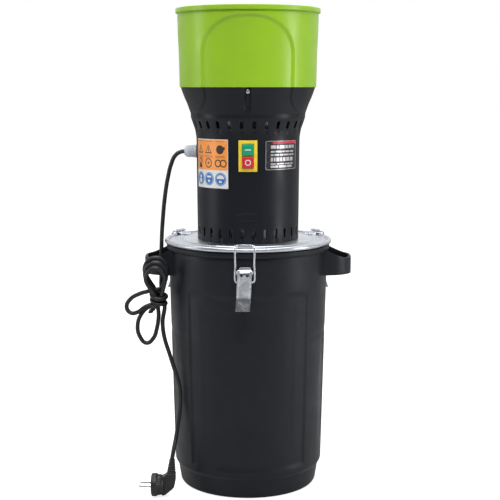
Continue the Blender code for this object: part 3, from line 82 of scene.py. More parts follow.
def radius_at(profile, height):
    """Radius of an outline, listed from bottom to top, at a height."""
    for (low_r, low_z), (high_r, high_z) in zip(profile, profile[1:]):
        if height <= high_z:
            return low_r + (high_r - low_r) * (height - low_z) / (high_z - low_z)
    return profile[-1][0]


def ease(value, low, high):
    """0 below low, 1 above high, and a smooth ramp between them."""
    share = min(1.0, max(0.0, (value - low) / (high - low)))
    return share * share * (3 - 2 * share)


def rounded(corners, steps=4):
    """Outline from (x, y, radius) corners, each rounded by about that radius."""
    made = []
    for index, (x, y, radius) in enumerate(corners):
        here = Vector((x, y))
        before = Vector(corners[index - 1][:2]) - here
        after = Vector(corners[(index + 1) % len(corners)][:2]) - here
        if not radius:
            made.append((x, y))
            continue
        start = here + before.normalized() * min(radius, before.length * 0.48)
        end = here + after.normalized() * min(radius, after.length * 0.48)
        for step in range(steps + 1):
            t = step / steps
            point = start * (1 - t) ** 2 + here * (2 * t * (1 - t)) + end * t * t
            made.append((point.x, point.y))
    return made


def split_up(profile, spacing):
    """The same outline with extra points, so that no step is longer than the spacing."""
    made = [profile[0]]
    for (x0, y0), (x1, y1) in zip(profile, profile[1:]):
        count = max(1, round(hypot(x1 - x0, y1 - y0) / spacing))
        made += [(x0 + (x1 - x0) * k / count, y0 + (y1 - y0) * k / count) for k in range(1, count + 1)]
    return made


# %% Helpers for shapes
def turned(profile, steps, closed=True):
    """Outline of (radius, height) spun about the axis, starting at the front."""
    shape = bmesh.new()
    points = [shape.verts.new((0, -radius, height)) for radius, height in profile]
    pairs = list(zip(points, points[1:]))
    if closed:
        pairs.append((points[-1], points[0]))
    lines = [shape.edges.new(pair) for pair in pairs]
    bmesh.ops.spin(shape, geom=points + lines, cent=(0, 0, 0), axis=(0, 0, 1), angle=2 * pi,
                   steps=steps, use_merge=True, use_duplicate=False)
    bmesh.ops.remove_doubles(shape, verts=shape.verts, dist=1e-6)
    return shape


def push(shape, depth):
    """Move each point towards the axis by depth(angle, radius, height)."""
    for vert in shape.verts:
        radius = hypot(vert.co.x, vert.co.y)
        if radius < 1e-6:
            continue
        inward = depth(atan2(vert.co.x, -vert.co.y), radius, vert.co.z)
        if inward:
            share = (radius - inward) / radius
            vert.co.x *= share
            vert.co.y *= share


def block(width, depth, height, centre=(0, 0, 0), shape=None):
    shape = shape or bmesh.new()
    made = bmesh.ops.create_cube(shape, size=1.0)["verts"]
    bmesh.ops.scale(shape, vec=(width, depth, height), verts=made)
    bmesh.ops.translate(shape, vec=centre, verts=made)
    return shape


def rod(radius, length, centre=(0, 0, 0), axis="Z", segments=24, shape=None, radius2=None):
    shape = shape or bmesh.new()
    turn = {"X": Matrix.Rotation(pi / 2, 4, "Y"), "Y": Matrix.Rotation(pi / 2, 4, "X"), "Z": Matrix()}
    bmesh.ops.create_cone(shape, cap_ends=True, segments=segments, radius1=radius,
                          radius2=radius if radius2 is None else radius2, depth=length,
                          matrix=Matrix.Translation(centre) @ turn[axis])
    return shape


def prism(outline, length, lift, shape=None):
    """Flat outline thickened both ways; lift turns (a, b, across) into a point."""
    shape = shape or bmesh.new()
    corners = [shape.verts.new(lift(a, b, -length / 2)) for a, b in outline]
    face = shape.faces.new(corners)
    made = bmesh.ops.extrude_face_region(shape, geom=[face])["geom"]
    tops = [item for item in made if isinstance(item, bmesh.types.BMVert)]
    step = Vector(lift(0, 0, length)) - Vector(lift(0, 0, 0))
    bmesh.ops.translate(shape, vec=step, verts=tops)
    return shape


def soften(shape, width, segments=2, sharper_than=30):
    """Small round on every edge that is sharper than the angle."""
    bmesh.ops.recalc_face_normals(shape, faces=shape.faces)
    edges = [edge for edge in shape.edges if len(edge.link_faces) == 2
             and edge.calc_face_angle() > radians(sharper_than)]
    bmesh.ops.bevel(shape, geom=edges, offset=width, segments=segments, profile=0.5,
                    affect="EDGES", material=-1, clamp_overlap=True)
    return shape


def turn_by(shape, angle):
    bmesh.ops.rotate(shape, cent=(0, 0, 0), matrix=Matrix.Rotation(angle, 3, "Z"), verts=shape.verts)
    return shape


def move_by(shape, vec):
    bmesh.ops.translate(shape, vec=vec, verts=shape.verts)
    return shape


def carved(shape, cutter):
    """The shape with the cutter taken out of it."""
    pair = []
    for name, part in (("carved", shape), ("cutter", cutter)):
        bmesh.ops.recalc_face_normals(part, faces=part.faces)
        mesh = bpy.data.meshes.new(name)
        part.to_mesh(mesh)
        part.free()
        pair.append(bpy.data.objects.new(name, mesh))
        bpy.context.scene.collection.objects.link(pair[-1])
    step = pair[0].modifiers.new("cut", "BOOLEAN")
    step.operation = "DIFFERENCE"
    step.object = pair[1]
    bpy.context.view_layer.update()
    result = bmesh.new()
    result.from_mesh(pair[0].evaluated_get(bpy.context.evaluated_depsgraph_get()).to_mesh())
    for helper in pair:
        bpy.data.objects.remove(helper)
    return result


def face_outwards(shape):
    """Turns an open skin round, if its faces look towards the axis."""
    outward = sum(face.calc_area() * face.normal.dot(Vector((*face.calc_center_median().xy, 0)))
                  for face in shape.faces)
    if outward < 0:
        bmesh.ops.reverse_faces(shape, faces=shape.faces)


def piece(name, shape, finish, body="root", stands_for=(), crease=35, skin=False):
    """Finished object from a shape, riding on a body in place of its CAD nodes."""
    bmesh.ops.remove_doubles(shape, verts=shape.verts, dist=1e-7)
    bmesh.ops.recalc_face_normals(shape, faces=shape.faces)
    if skin:
        face_outwards(shape)
    mesh = bpy.data.meshes.new(name)
    shape.to_mesh(mesh)
    shape.free()
    mesh.materials.append(finish)
    mesh.shade_smooth()
    mesh.set_sharp_from_angle(angle=radians(crease))
    obj = bpy.data.objects.new(name, mesh)
    bpy.context.scene.collection.objects.link(obj)
    return seat(obj, body, stands_for)


def seat(obj, body, stands_for=()):
    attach(obj, body)
    if stands_for:
        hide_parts(*stands_for)
    print(f"{obj.name:24s} on {body}")
    return obj


def thicken(obj, thickness, inward=True):
    """Gives a single sheet its real thickness."""
    step = obj.modifiers.new("sheet", "SOLIDIFY")
    step.thickness = thickness
    step.offset = -1.0 if inward else 1.0
    return obj


def soft_edges(obj, width, segments=2, angle=40):
    step = obj.modifiers.new("edges", "BEVEL")
    step.width = width
    step.segments = segments
    step.limit_method = "ANGLE"
    step.angle_limit = radians(angle)
    step.use_clamp_overlap = True
    return obj


# %% [markdown]
# ## Finishes
# Four effects are shared as node groups: a fine grain that bends the light, a mottle for uneven
# gloss, rubbed corners, and dust that settles on what looks up.  Every finish mixes them with its own
# values.  They all read object coordinates, which here are metres from the axis, so a grain of a
# given size is the same on every piece.

# %% Shared effects
def new_group(name, inputs, outputs):
    group = bpy.data.node_groups.new(name, "ShaderNodeTree")
    for label, kind, value in inputs:
        group.interface.new_socket(label, in_out="INPUT", socket_type=kind).default_value = value
    for label, kind in outputs:
        group.interface.new_socket(label, in_out="OUTPUT", socket_type=kind)
    return group, group.nodes.new("NodeGroupInput"), group.nodes.new("NodeGroupOutput")


FLOAT, COLOUR, VECTOR = "NodeSocketFloat", "NodeSocketColor", "NodeSocketVector"


def make_grain():
    """Fine moulded or blasted grain over a slow waviness, as a normal."""
    group, given, out = new_group("fine_grain", [("Scale", FLOAT, 900.0), ("Depth", FLOAT, 0.00002),
                                                 ("Waves", FLOAT, 30.0), ("Wave Depth", FLOAT, 0.0002)],
                                  [("Normal", VECTOR)])
    nodes, links = group.nodes, group.links
    where = nodes.new("ShaderNodeTexCoord")
    bumps = []
    for scale, depth in (("Waves", "Wave Depth"), ("Scale", "Depth")):
        noise = nodes.new("ShaderNodeTexNoise")
        noise.inputs["Detail"].default_value = 3.0
        bump = nodes.new("ShaderNodeBump")
        links.new(where.outputs["Object"], noise.inputs["Vector"])
        links.new(given.outputs[scale], noise.inputs["Scale"])
        links.new(noise.outputs["Fac"], bump.inputs["Height"])
        links.new(given.outputs[depth], bump.inputs["Distance"])
        bumps.append(bump)
    links.new(bumps[0].outputs["Normal"], bumps[1].inputs["Normal"])
    links.new(bumps[1].outputs["Normal"], out.inputs["Normal"])
    return group


def make_mottle():
    """Uneven value between two others, in soft patches with some finer ones in them."""
    group, given, out = new_group("mottle", [("Scale", FLOAT, 30.0), ("Low", FLOAT, 0.3), ("High", FLOAT, 0.5)],
                                  [("Value", FLOAT), ("Mask", FLOAT)])
    nodes, links = group.nodes, group.links
    where = nodes.new("ShaderNodeTexCoord")
    noise = nodes.new("ShaderNodeTexNoise")
    noise.inputs["Detail"].default_value = 6.0
    noise.inputs["Roughness"].default_value = 0.6
    spread = nodes.new("ShaderNodeMapRange")
    spread.inputs["From Min"].default_value = 0.35
    spread.inputs["From Max"].default_value = 0.65
    both = nodes.new("ShaderNodeMapRange")
    links.new(where.outputs["Object"], noise.inputs["Vector"])
    links.new(given.outputs["Scale"], noise.inputs["Scale"])
    links.new(noise.outputs["Fac"], spread.inputs["Value"])
    links.new(spread.outputs["Result"], both.inputs["Value"])
    links.new(given.outputs["Low"], both.inputs["To Min"])
    links.new(given.outputs["High"], both.inputs["To Max"])
    links.new(both.outputs["Result"], out.inputs["Value"])
    links.new(spread.outputs["Result"], out.inputs["Mask"])
    return group


def make_rubbed():
    """Colour that turns lighter on outer corners, where hands and boxes rub it."""
    group, given, out = new_group("rubbed_corners", [("Color", COLOUR, (0.1, 0.1, 0.1, 1)),
                                                     ("Rubbed", COLOUR, (0.3, 0.3, 0.3, 1)),
                                                     ("Amount", FLOAT, 0.5), ("Breakup", FLOAT, 120.0)],
                                  [("Color", COLOUR), ("Mask", FLOAT)])
    nodes, links = group.nodes, group.links
    shape = nodes.new("ShaderNodeNewGeometry")
    corner = nodes.new("ShaderNodeMapRange")
    corner.inputs["From Min"].default_value = 0.52
    corner.inputs["From Max"].default_value = 0.62
    where = nodes.new("ShaderNodeTexCoord")
    noise = nodes.new("ShaderNodeTexNoise")
    noise.inputs["Detail"].default_value = 4.0
    times = nodes.new("ShaderNodeMath")
    times.operation = "MULTIPLY"
    amount = nodes.new("ShaderNodeMath")
    amount.operation = "MULTIPLY"
    mix = nodes.new("ShaderNodeMix")
    mix.data_type = "RGBA"
    links.new(shape.outputs["Pointiness"], corner.inputs["Value"])
    links.new(where.outputs["Object"], noise.inputs["Vector"])
    links.new(given.outputs["Breakup"], noise.inputs["Scale"])
    links.new(corner.outputs["Result"], times.inputs[0])
    links.new(noise.outputs["Fac"], times.inputs[1])
    links.new(times.outputs[0], amount.inputs[0])
    links.new(given.outputs["Amount"], amount.inputs[1])
    links.new(amount.outputs[0], mix.inputs["Factor"])
    links.new(given.outputs["Color"], mix.inputs["A"])
    links.new(given.outputs["Rubbed"], mix.inputs["B"])
    links.new(mix.outputs["Result"], out.inputs["Color"])
    links.new(amount.outputs[0], out.inputs["Mask"])
    return group


def make_dust():
    """Pale flour dust on faces that look up, in patches."""
    group, given, out = new_group("flour_dust", [("Color", COLOUR, (0.1, 0.1, 0.1, 1)), ("Amount", FLOAT, 0.1)],
                                  [("Color", COLOUR), ("Mask", FLOAT)])
    nodes, links = group.nodes, group.links
    shape = nodes.new("ShaderNodeNewGeometry")
    axes = nodes.new("ShaderNodeSeparateXYZ")
    upward = nodes.new("ShaderNodeMapRange")
    upward.inputs["From Min"].default_value = 0.3
    where = nodes.new("ShaderNodeTexCoord")
    noise = nodes.new("ShaderNodeTexNoise")
    noise.inputs["Scale"].default_value = 45.0
    noise.inputs["Detail"].default_value = 8.0
    times = nodes.new("ShaderNodeMath")
    times.operation = "MULTIPLY"
    amount = nodes.new("ShaderNodeMath")
    amount.operation = "MULTIPLY"
    mix = nodes.new("ShaderNodeMix")
    mix.data_type = "RGBA"
    mix.inputs["B"].default_value = (0.62, 0.60, 0.55, 1)
    links.new(shape.outputs["Normal"], axes.inputs["Vector"])
    links.new(axes.outputs["Z"], upward.inputs["Value"])
    links.new(where.outputs["Object"], noise.inputs["Vector"])
    links.new(upward.outputs["Result"], times.inputs[0])
    links.new(noise.outputs["Fac"], times.inputs[1])
    links.new(times.outputs[0], amount.inputs[0])
    links.new(given.outputs["Amount"], amount.inputs[1])
    links.new(amount.outputs[0], mix.inputs["Factor"])
    links.new(given.outputs["Color"], mix.inputs["A"])
    links.new(mix.outputs["Result"], out.inputs["Color"])
    links.new(amount.outputs[0], out.inputs["Mask"])
    return group


def make_spangle():
    """Zinc crystals: flat patches that differ a little in tone, and one more value for each crystal."""
    group, given, out = new_group("zinc_spangle", [("Color", COLOUR, (0.7, 0.7, 0.7, 1)), ("Scale", FLOAT, 150.0),
                                                   ("Contrast", FLOAT, 0.2)],
                                  [("Color", COLOUR), ("Value", FLOAT)])
    nodes, links = group.nodes, group.links
    where = nodes.new("ShaderNodeTexCoord")
    warp = nodes.new("ShaderNodeTexNoise")
    warp.inputs["Scale"].default_value = 60.0
    bend = nodes.new("ShaderNodeVectorMath")
    bend.operation = "MULTIPLY_ADD"
    bend.inputs[1].default_value = (0.006, 0.006, 0.006)
    cells = nodes.new("ShaderNodeTexVoronoi")
    tone = nodes.new("ShaderNodeSeparateColor")
    dark = nodes.new("ShaderNodeMapRange")
    less = nodes.new("ShaderNodeMath")
    less.operation = "SUBTRACT"
    less.inputs[0].default_value = 1.0
    scale = nodes.new("ShaderNodeVectorMath")
    scale.operation = "SCALE"
    links.new(where.outputs["Object"], warp.inputs["Vector"])
    links.new(warp.outputs["Color"], bend.inputs[0])
    links.new(where.outputs["Object"], bend.inputs[2])
    links.new(bend.outputs["Vector"], cells.inputs["Vector"])
    links.new(given.outputs["Scale"], cells.inputs["Scale"])
    links.new(cells.outputs["Color"], tone.inputs["Color"])
    links.new(given.outputs["Contrast"], less.inputs[1])
    links.new(less.outputs[0], dark.inputs["To Min"])
    links.new(tone.outputs["Red"], dark.inputs["Value"])
    links.new(given.outputs["Color"], scale.inputs[0])
    links.new(dark.outputs["Result"], scale.inputs["Scale"])
    links.new(scale.outputs["Vector"], out.inputs["Color"])
    links.new(tone.outputs["Green"], out.inputs["Value"])
    return group


GRAIN, MOTTLE, RUBBED, DUST, SPANGLE = make_grain(), make_mottle(), make_rubbed(), make_dust(), make_spangle()
print("shared effects:", [group.name for group in bpy.data.node_groups])


# %% One maker for all the finishes
def finish(name, colour, gloss, metallic=0.0, grain=(900.0, 0.00002), waves=(30.0, 0.0001), patches=30.0,
           rubbed=None, rub=0.5, dust=0.0, spangle=None, coat=0.0, tint=None, shine=0.5):
    """Material from its colour, the low and high of its roughness, and how much of each effect it has."""
    made = bpy.data.materials.new(name)
    made.use_nodes = True
    nodes, links = made.node_tree.nodes, made.node_tree.links
    shader = nodes["Principled BSDF"]
    shader.inputs["Metallic"].default_value = metallic
    shader.inputs["Specular IOR Level"].default_value = shine
    shader.inputs["Coat Weight"].default_value = coat
    shader.inputs["Coat Roughness"].default_value = 0.15

    def effect(group, **values):
        node = nodes.new("ShaderNodeGroup")
        node.node_tree = group
        for label, value in values.items():
            node.inputs[label.replace("_", " ")].default_value = value
        return node

    texture = effect(GRAIN, Scale=grain[0], Depth=grain[1], Waves=waves[0], Wave_Depth=waves[1])
    links.new(texture.outputs["Normal"], shader.inputs["Normal"])
    uneven = effect(MOTTLE, Scale=patches, Low=gloss[0], High=gloss[1])
    links.new(uneven.outputs["Value"], shader.inputs["Roughness"])
    base = nodes.new("ShaderNodeMix")
    base.data_type = "RGBA"
    base.inputs["A"].default_value = (*colour, 1)
    base.inputs["B"].default_value = (*(tint or [0.86 * part for part in colour]), 1)
    links.new(uneven.outputs["Mask"], base.inputs["Factor"])
    latest = base.outputs["Result"]
    if spangle:
        crystals = effect(SPANGLE, Scale=spangle[0], Contrast=spangle[1])
        links.new(latest, crystals.inputs["Color"])
        latest = crystals.outputs["Color"]
    worn = effect(RUBBED, Rubbed=(*(rubbed or [min(1.0, 1.5 * part + 0.05) for part in colour]), 1), Amount=rub)
    links.new(latest, worn.inputs["Color"])
    latest = worn.outputs["Color"]
    if dust:
        settled = effect(DUST, Amount=dust)
        links.new(latest, settled.inputs["Color"])
        latest = settled.outputs["Color"]
    links.new(latest, shader.inputs["Base Color"])
    return made


HOUSING_BLACK = finish("housing_black", (0.0060, 0.0074, 0.0120), (0.34, 0.46), grain=(1400, 0.00003),
                       patches=24, rubbed=(0.08, 0.09, 0.12), rub=0.22, dust=0.010, shine=0.27)
BIN_BLACK = finish("bin_black", (0.0078, 0.0092, 0.0138), (0.38, 0.52), grain=(1100, 0.00004), waves=(14, 0.0012),
                   patches=16, rubbed=(0.10, 0.11, 0.13), rub=0.25, dust=0.012, shine=0.29)
HOPPER_GREEN = finish("hopper_green", (0.305, 0.545, 0.018), (0.30, 0.42), grain=(1500, 0.00002),
                      patches=20, tint=(0.282, 0.515, 0.016), rubbed=(0.55, 0.75, 0.25), rub=0.28, dust=0.02)
GALVANISED = finish("galvanised_sheet", (0.70, 0.73, 0.79), (0.24, 0.40), metallic=1.0, grain=(700, 0.00001),
                    waves=(18, 0.0010), patches=40, spangle=(140, 0.14), rub=0.2, dust=0.05)
ZINC = finish("zinc_plate", (0.74, 0.77, 0.82), (0.16, 0.32), metallic=1.0, grain=(1600, 0.00001),
              waves=(60, 0.0003), patches=90, tint=(0.62, 0.65, 0.72), rub=0.3)
SPRING_WIRE = finish("spring_wire", (0.66, 0.68, 0.72), (0.14, 0.30), metallic=1.0, grain=(2200, 0.00001),
                     patches=150, rub=0.3)
STEEL = finish("machined_steel", (0.50, 0.50, 0.52), (0.25, 0.42), metallic=1.0, grain=(1800, 0.00002), patches=80)
LAMINATION = finish("lamination_stack", (0.24, 0.23, 0.22), (0.42, 0.60), metallic=0.9, grain=(2400, 0.00006),
                    patches=60)
COPPER = finish("varnished_copper", (0.58, 0.24, 0.10), (0.25, 0.40), metallic=0.9, grain=(1300, 0.00020),
                patches=70, coat=0.4)
CAST = finish("cast_aluminium", (0.52, 0.53, 0.55), (0.42, 0.58), metallic=0.9, grain=(900, 0.00012), patches=50)
RUBBER = finish("cord_rubber", (0.0110, 0.0115, 0.0140), (0.38, 0.52), grain=(2600, 0.00005), patches=120,
                rubbed=(0.06, 0.06, 0.07), rub=0.3)
SEAL_RUBBER = finish("seal_rubber", (0.014, 0.014, 0.015), (0.55, 0.70), grain=(1500, 0.00006), patches=60)
NYLON = finish("grey_nylon", (0.62, 0.67, 0.72), (0.34, 0.46), grain=(1800, 0.00003), patches=90,
               tint=(0.54, 0.60, 0.66), rub=0.2)
YELLOW = finish("yellow_plastic", (0.93, 0.68, 0.045), (0.30, 0.40), grain=(1800, 0.00002), patches=110, rub=0.2)
GREEN_CAP = finish("green_cap", (0.0, 0.36, 0.16), (0.28, 0.38), grain=(1800, 0.00002), patches=120, rub=0.2)
RED_CAP = finish("red_cap", (0.70, 0.016, 0.040), (0.28, 0.38), grain=(1800, 0.00002), patches=120, rub=0.2)
WHITE_INK = finish("white_ink", (0.80, 0.82, 0.82), (0.40, 0.55), grain=(2400, 0.00001), patches=200, rub=0.0)
ORANGE_INK = finish("orange_ink", (0.93, 0.30, 0.045), (0.32, 0.44), grain=(1500, 0.00001), patches=90, rub=0.1,
                    tint=(0.95, 0.35, 0.08))
DARK_INK = finish("dark_ink", (0.045, 0.026, 0.020), (0.40, 0.55), grain=(2400, 0.00001), patches=200, rub=0.0)
BLUE_INK = finish("blue_ink", (0.025, 0.160, 0.520), (0.35, 0.48), grain=(2400, 0.00001), patches=200, rub=0.0)
PLATE_DARK = finish("plate_dark", (0.045, 0.042, 0.048), (0.22, 0.34), metallic=0.4, grain=(1500, 0.00001),
                    patches=90, rub=0.1)
PLATE_PALE = finish("plate_pale", (0.62, 0.61, 0.63), (0.26, 0.40), metallic=0.5, grain=(1500, 0.00001),
                    patches=140, rub=0.1)
PLATE_RED = finish("plate_red", (0.62, 0.030, 0.055), (0.28, 0.40), grain=(1500, 0.00001), patches=140, rub=0.1)
NICKEL = finish("nickel_pin", (0.70, 0.69, 0.66), (0.16, 0.28), metallic=1.0, grain=(2400, 0.00001), patches=200)
FLOOR_PAPER = finish("studio_paper", (0.50, 0.50, 0.50), (0.75, 0.85), grain=(900, 0.00001), patches=3,
                     tint=(0.49, 0.49, 0.49), rub=0.0)

# %% [markdown]
# ## Camera, floor and lights
# The camera stands two metres in front at the height of the hopper's joint and looks slightly down.
# Big soft panels at both sides make the long highlights that a studio gives on black plastic.

# %% Camera, floor and lights
CAMERA_AT = Vector((0.0033, -1.9600, 0.6670))
CAMERA_DOWN = radians(7.9)
LENS = 84.5

camera = bpy.data.cameras.new("camera")
camera.lens = LENS
camera.sensor_width = 36.0
camera_object = bpy.data.objects.new("camera", camera)
camera_object.location = CAMERA_AT
camera_object.rotation_euler = (pi / 2 - CAMERA_DOWN, 0, 0)
bpy.context.scene.collection.objects.link(camera_object)
bpy.context.scene.camera = camera_object

floor_shape = bmesh.new()
bmesh.ops.create_circle(floor_shape, cap_ends=True, segments=96, radius=40.0)
floor_mesh = bpy.data.meshes.new("floor")
floor_shape.to_mesh(floor_mesh)
floor_shape.free()
floor_mesh.materials.append(FLOOR_PAPER)
floor = bpy.data.objects.new("floor", floor_mesh)
floor.location.z = -0.0006
bpy.context.scene.collection.objects.link(floor)


def panel_light(name, at, towards, width, height, power, colour=(1, 1, 1)):
    light = bpy.data.lights.new(name, "AREA")
    light.shape = "RECTANGLE"
    light.size = width
    light.size_y = height
    light.energy = power
    light.color = colour
    obj = bpy.data.objects.new(name, light)
    obj.location = at
    obj.rotation_euler = (Vector(towards) - Vector(at)).to_track_quat("-Z", "Y").to_euler()
    bpy.context.scene.collection.objects.link(obj)


panel_light("left_panel", (-2.2, -0.2, 0.7), (0, 0, 0.42), 0.4, 1.8, 10)
panel_light("right_panel", (2.2, -0.6, 0.7), (0, 0, 0.42), 0.5, 1.8, 20)
panel_light("front_panel", (0.0, -2.2, 3.4), (0, 0, 0.6), 2.2, 1.0, 92)
panel_light("top_panel", (0, 0.3, 3.0), (0, 0, 0), 3.0, 3.0, 78)


def only_when_seen(tree, least, most):
    """Value that is most where the camera looks straight at a thing, and least in its light and reflections."""
    looked_at = tree.nodes.new("ShaderNodeLightPath")
    chosen = tree.nodes.new("ShaderNodeMapRange")
    chosen.inputs["To Min"].default_value = least
    chosen.inputs["To Max"].default_value = most
    tree.links.new(looked_at.outputs["Is Camera Ray"], chosen.inputs["Value"])
    return chosen


# The paper glows a little, so that the floor runs into the white backdrop without a line.
paper = FLOOR_PAPER.node_tree
paper.nodes["Principled BSDF"].inputs["Emission Color"].default_value = (1, 1, 1, 1)
paper.links.new(only_when_seen(paper, 0.0, 0.80).outputs["Result"],
                paper.nodes["Principled BSDF"].inputs["Emission Strength"])

# The backdrop lights the object from behind and hardly at all from the front, where the room is dark.
world = bpy.data.worlds.new("studio")
world.use_nodes = True
sky = world.node_tree
direction = sky.nodes.new("ShaderNodeTexCoord")
axes = sky.nodes.new("ShaderNodeSeparateXYZ")
from_behind = sky.nodes.new("ShaderNodeMapRange")
for label, value in (("From Min", -0.1), ("From Max", 0.7), ("To Min", 0.13), ("To Max", 0.9)):
    from_behind.inputs[label].default_value = value
strength = only_when_seen(sky, 0.0, 1.0)
sky.links.new(direction.outputs["Generated"], axes.inputs["Vector"])
sky.links.new(axes.outputs["Y"], from_behind.inputs["Value"])
sky.links.new(from_behind.outputs["Result"], strength.inputs["To Min"])
sky.links.new(strength.outputs["Result"], sky.nodes["Background"].inputs["Strength"])
sky.nodes["Background"].inputs["Color"].default_value = (1.0, 1.0, 1.0, 1)
bpy.context.scene.world = world
bpy.context.scene.view_settings.view_transform = "Standard"

# %% [markdown]
# ## Power cord
# The cord is one curve from the gland to the plug.  It drops through the left carrying loop, goes three
# times round a hand to make the loops that stick up, is tied off with two turns round their foot, and
# then has two slack loops and the tail.  The route's points are those of the CAD, with the turns of the
# hank worked out inside its solid.

# %% Points of the cord
CORD_R = 0.0035
HANK_FOOT = Vector((-0.1470, -0.0540, 0.3120))
HANK_LEAN = radians(20.2)
HANK_UP = Vector((0, -sin(HANK_LEAN), cos(HANK_LEAN)))
HANK_FRONT = Vector((0, -cos(HANK_LEAN), -sin(HANK_LEAN)))
GLAND_Z = JOINT_Z - 0.1055
CORD_EXIT = (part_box("gland_nut")[0].x + 0.0055, 0.0, GLAND_Z)
RELIEF_TOP = Vector((-0.1246, -0.0968, 0.0625))

FEED = [(-0.1130, -0.0002, 0.5600), (-0.1214, -0.0015, 0.5540), (-0.1280, -0.0040, 0.5400),
        (-0.1329, -0.0060, 0.5210), (-0.1382, -0.0100, 0.4888), (-0.1422, -0.0120, 0.4493),
        (-0.1447, -0.0120, 0.4105), (-0.1455, -0.0125, 0.3650), (-0.1458, -0.0160, 0.3440),
        (-0.1460, -0.0240, 0.3300)]
SIDE_LOOP = [(-0.1650, -0.0620, 0.3350), (-0.1800, -0.0600, 0.3300), (-0.1935, -0.0580, 0.3215),
             (-0.2000, -0.0570, 0.3080), (-0.1935, -0.0575, 0.2985), (-0.1820, -0.0600, 0.3000),
             (-0.1690, -0.0605, 0.3090)]
LOW_LOOP = [(-0.1640, -0.0575, 0.3080), (-0.1760, -0.0555, 0.2960), (-0.1825, -0.0550, 0.2770),
            (-0.1785, -0.0545, 0.2570), (-0.1680, -0.0540, 0.2470), (-0.1575, -0.0530, 0.2540),
            (-0.1508, -0.0520, 0.2720), (-0.1480, -0.0515, 0.2900)]
TAIL = [(-0.1415, -0.0500, 0.2800), (-0.1385, -0.0530, 0.2560), (-0.1300, -0.0590, 0.2300),
        (-0.1215, -0.0660, 0.2052), (-0.1148, -0.0710, 0.1854), (-0.1120, -0.0725, 0.1642),
        (-0.1129, -0.0740, 0.1388), (-0.1158, -0.0770, 0.1155), (-0.1190, -0.0840, 0.0933),
        (-0.1220, -0.0925, 0.0780)]


def on_hank(across, up, out=0.0):
    """Point of the hank: across to the right, up along its lean, and out to the front."""
    return HANK_FOOT + Vector((across, 0, 0)) + HANK_UP * up + HANK_FRONT * out


def upper_turn(out, width, height):
    """One turn of the hank: up the left leg, over the top and down the right leg."""
    leg = [(-0.0020, 0.010), (-0.0062, 0.024), (-0.0150, 0.041), (-0.0215, 0.057), (-0.0190, 0.072),
           (-0.0120, 0.080), (-0.0030, 0.083), (0.0065, 0.080), (0.0130, 0.071), (0.0145, 0.057),
           (0.0105, 0.040), (0.0060, 0.024), (0.0035, 0.010)]
    tip = 0.083
    return [on_hank(-0.003 + (x + 0.003) * (1 + (width - 1) * z / tip), 0.010 + (z - 0.010) * height, out)
            for x, z in leg]


cord_points = [Vector(CORD_EXIT)] + [Vector(point) for point in FEED]
cord_points += [on_hank(-0.0030, 0.0060, -0.0135)]
for out, width, height in ((-0.0080, 1.00, 1.00), (-0.0005, 0.93, 0.93), (0.0070, 0.80, 0.85)):
    cord_points += upper_turn(out, width, height)
for turn in range(15):
    angle = radians(20 + turn * 45)
    cord_points.append(on_hank(0.0005 + 0.0118 * cos(angle), 0.0060 + 0.0165 * turn / 14, 0.0125 * sin(angle)))
cord_points += [Vector(point) for point in SIDE_LOOP]
cord_points += [on_hank(-0.0060, 0.0040, 0.0060), on_hank(-0.0030, 0.0050, 0.0120)]
cord_points += [Vector(point) for point in LOW_LOOP]
cord_points += [on_hank(0.0010, 0.0060, -0.0020), on_hank(0.0055, 0.0085, -0.0015), on_hank(0.0088, 0.0030, -0.0010)]
cord_points += [Vector(point) for point in TAIL] + [RELIEF_TOP]


def cord_curve(name, points, radius):
    """Round cord along a smooth curve through the points."""
    curve = bpy.data.curves.new(name, "CURVE")
    curve.dimensions = "3D"
    curve.bevel_depth = radius
    curve.bevel_resolution = 5
    curve.resolution_u = 8
    curve.use_fill_caps = True
    line = curve.splines.new("BEZIER")
    line.bezier_points.add(len(points) - 1)
    for knot, point in zip(line.bezier_points, points):
        knot.co = point
        knot.handle_left_type = "AUTO"
        knot.handle_right_type = "AUTO"
    obj = bpy.data.objects.new(name, curve)
    bpy.context.scene.collection.objects.link(obj)
    return obj


power_cord = cord_curve("power_cord", cord_points, CORD_R)
power_cord.data.materials.append(RUBBER)
seat(power_cord, "root", ("cord_feed", "cord_hank", "cord_side_loop", "cord_low_loop", "cord_tail"))

# %% [markdown]
# ## Twisted end of the tie
# The hank is held by a short rubber tie.  Its two ends are twisted together and stick out to the left
# under the knot, so each end is a thin helix round a line of its own.

# %% Tie
TIE_R = 0.0019


def twisted(start, end, spread, turns, phase):
    """Points of one strand that winds round the line from start to end."""
    along = (end - start).normalized()
    side = along.orthogonal().normalized()
    made = []
    for step in range(25):
        share = step / 24
        angle = phase + 2 * pi * turns * share
        made.append(start.lerp(end, share) + Matrix.Rotation(angle, 3, along) @ side * spread)
    return made


for strand in range(2):
    tie = cord_curve("tie_strand_" + str(strand + 1),
                     twisted(on_hank(-0.0020, 0.0040, 0.0060), on_hank(-0.0150, -0.0100, 0.0100),
                             0.0019, 2.0, strand * pi), TIE_R)
    tie.data.materials.append(RUBBER)
    seat(tie, "root")

# %% [markdown]
# ## Plug
# An earthed plug lies on its back: a round head with a moulded waist and grip ribs, an elbow, and a
# ribbed relief that thins towards the cord.  The head is turned about its own axis and then laid over.

# %% Plug
PLUG_Y = -0.1000
PLUG_R = 0.0190
PLUG_Z = PLUG_R + 0.0004
PLUG_LEFT, PLUG_RIGHT = -0.1590, -0.1368


def lying(profile, steps, at):
    """Outline of (radius, distance along +X) turned about a level axis through a point."""
    shape = turned(profile, steps, closed=False)
    bmesh.ops.rotate(shape, cent=(0, 0, 0), matrix=Matrix.Rotation(pi / 2, 3, "Y"), verts=shape.verts)
    return move_by(shape, at)


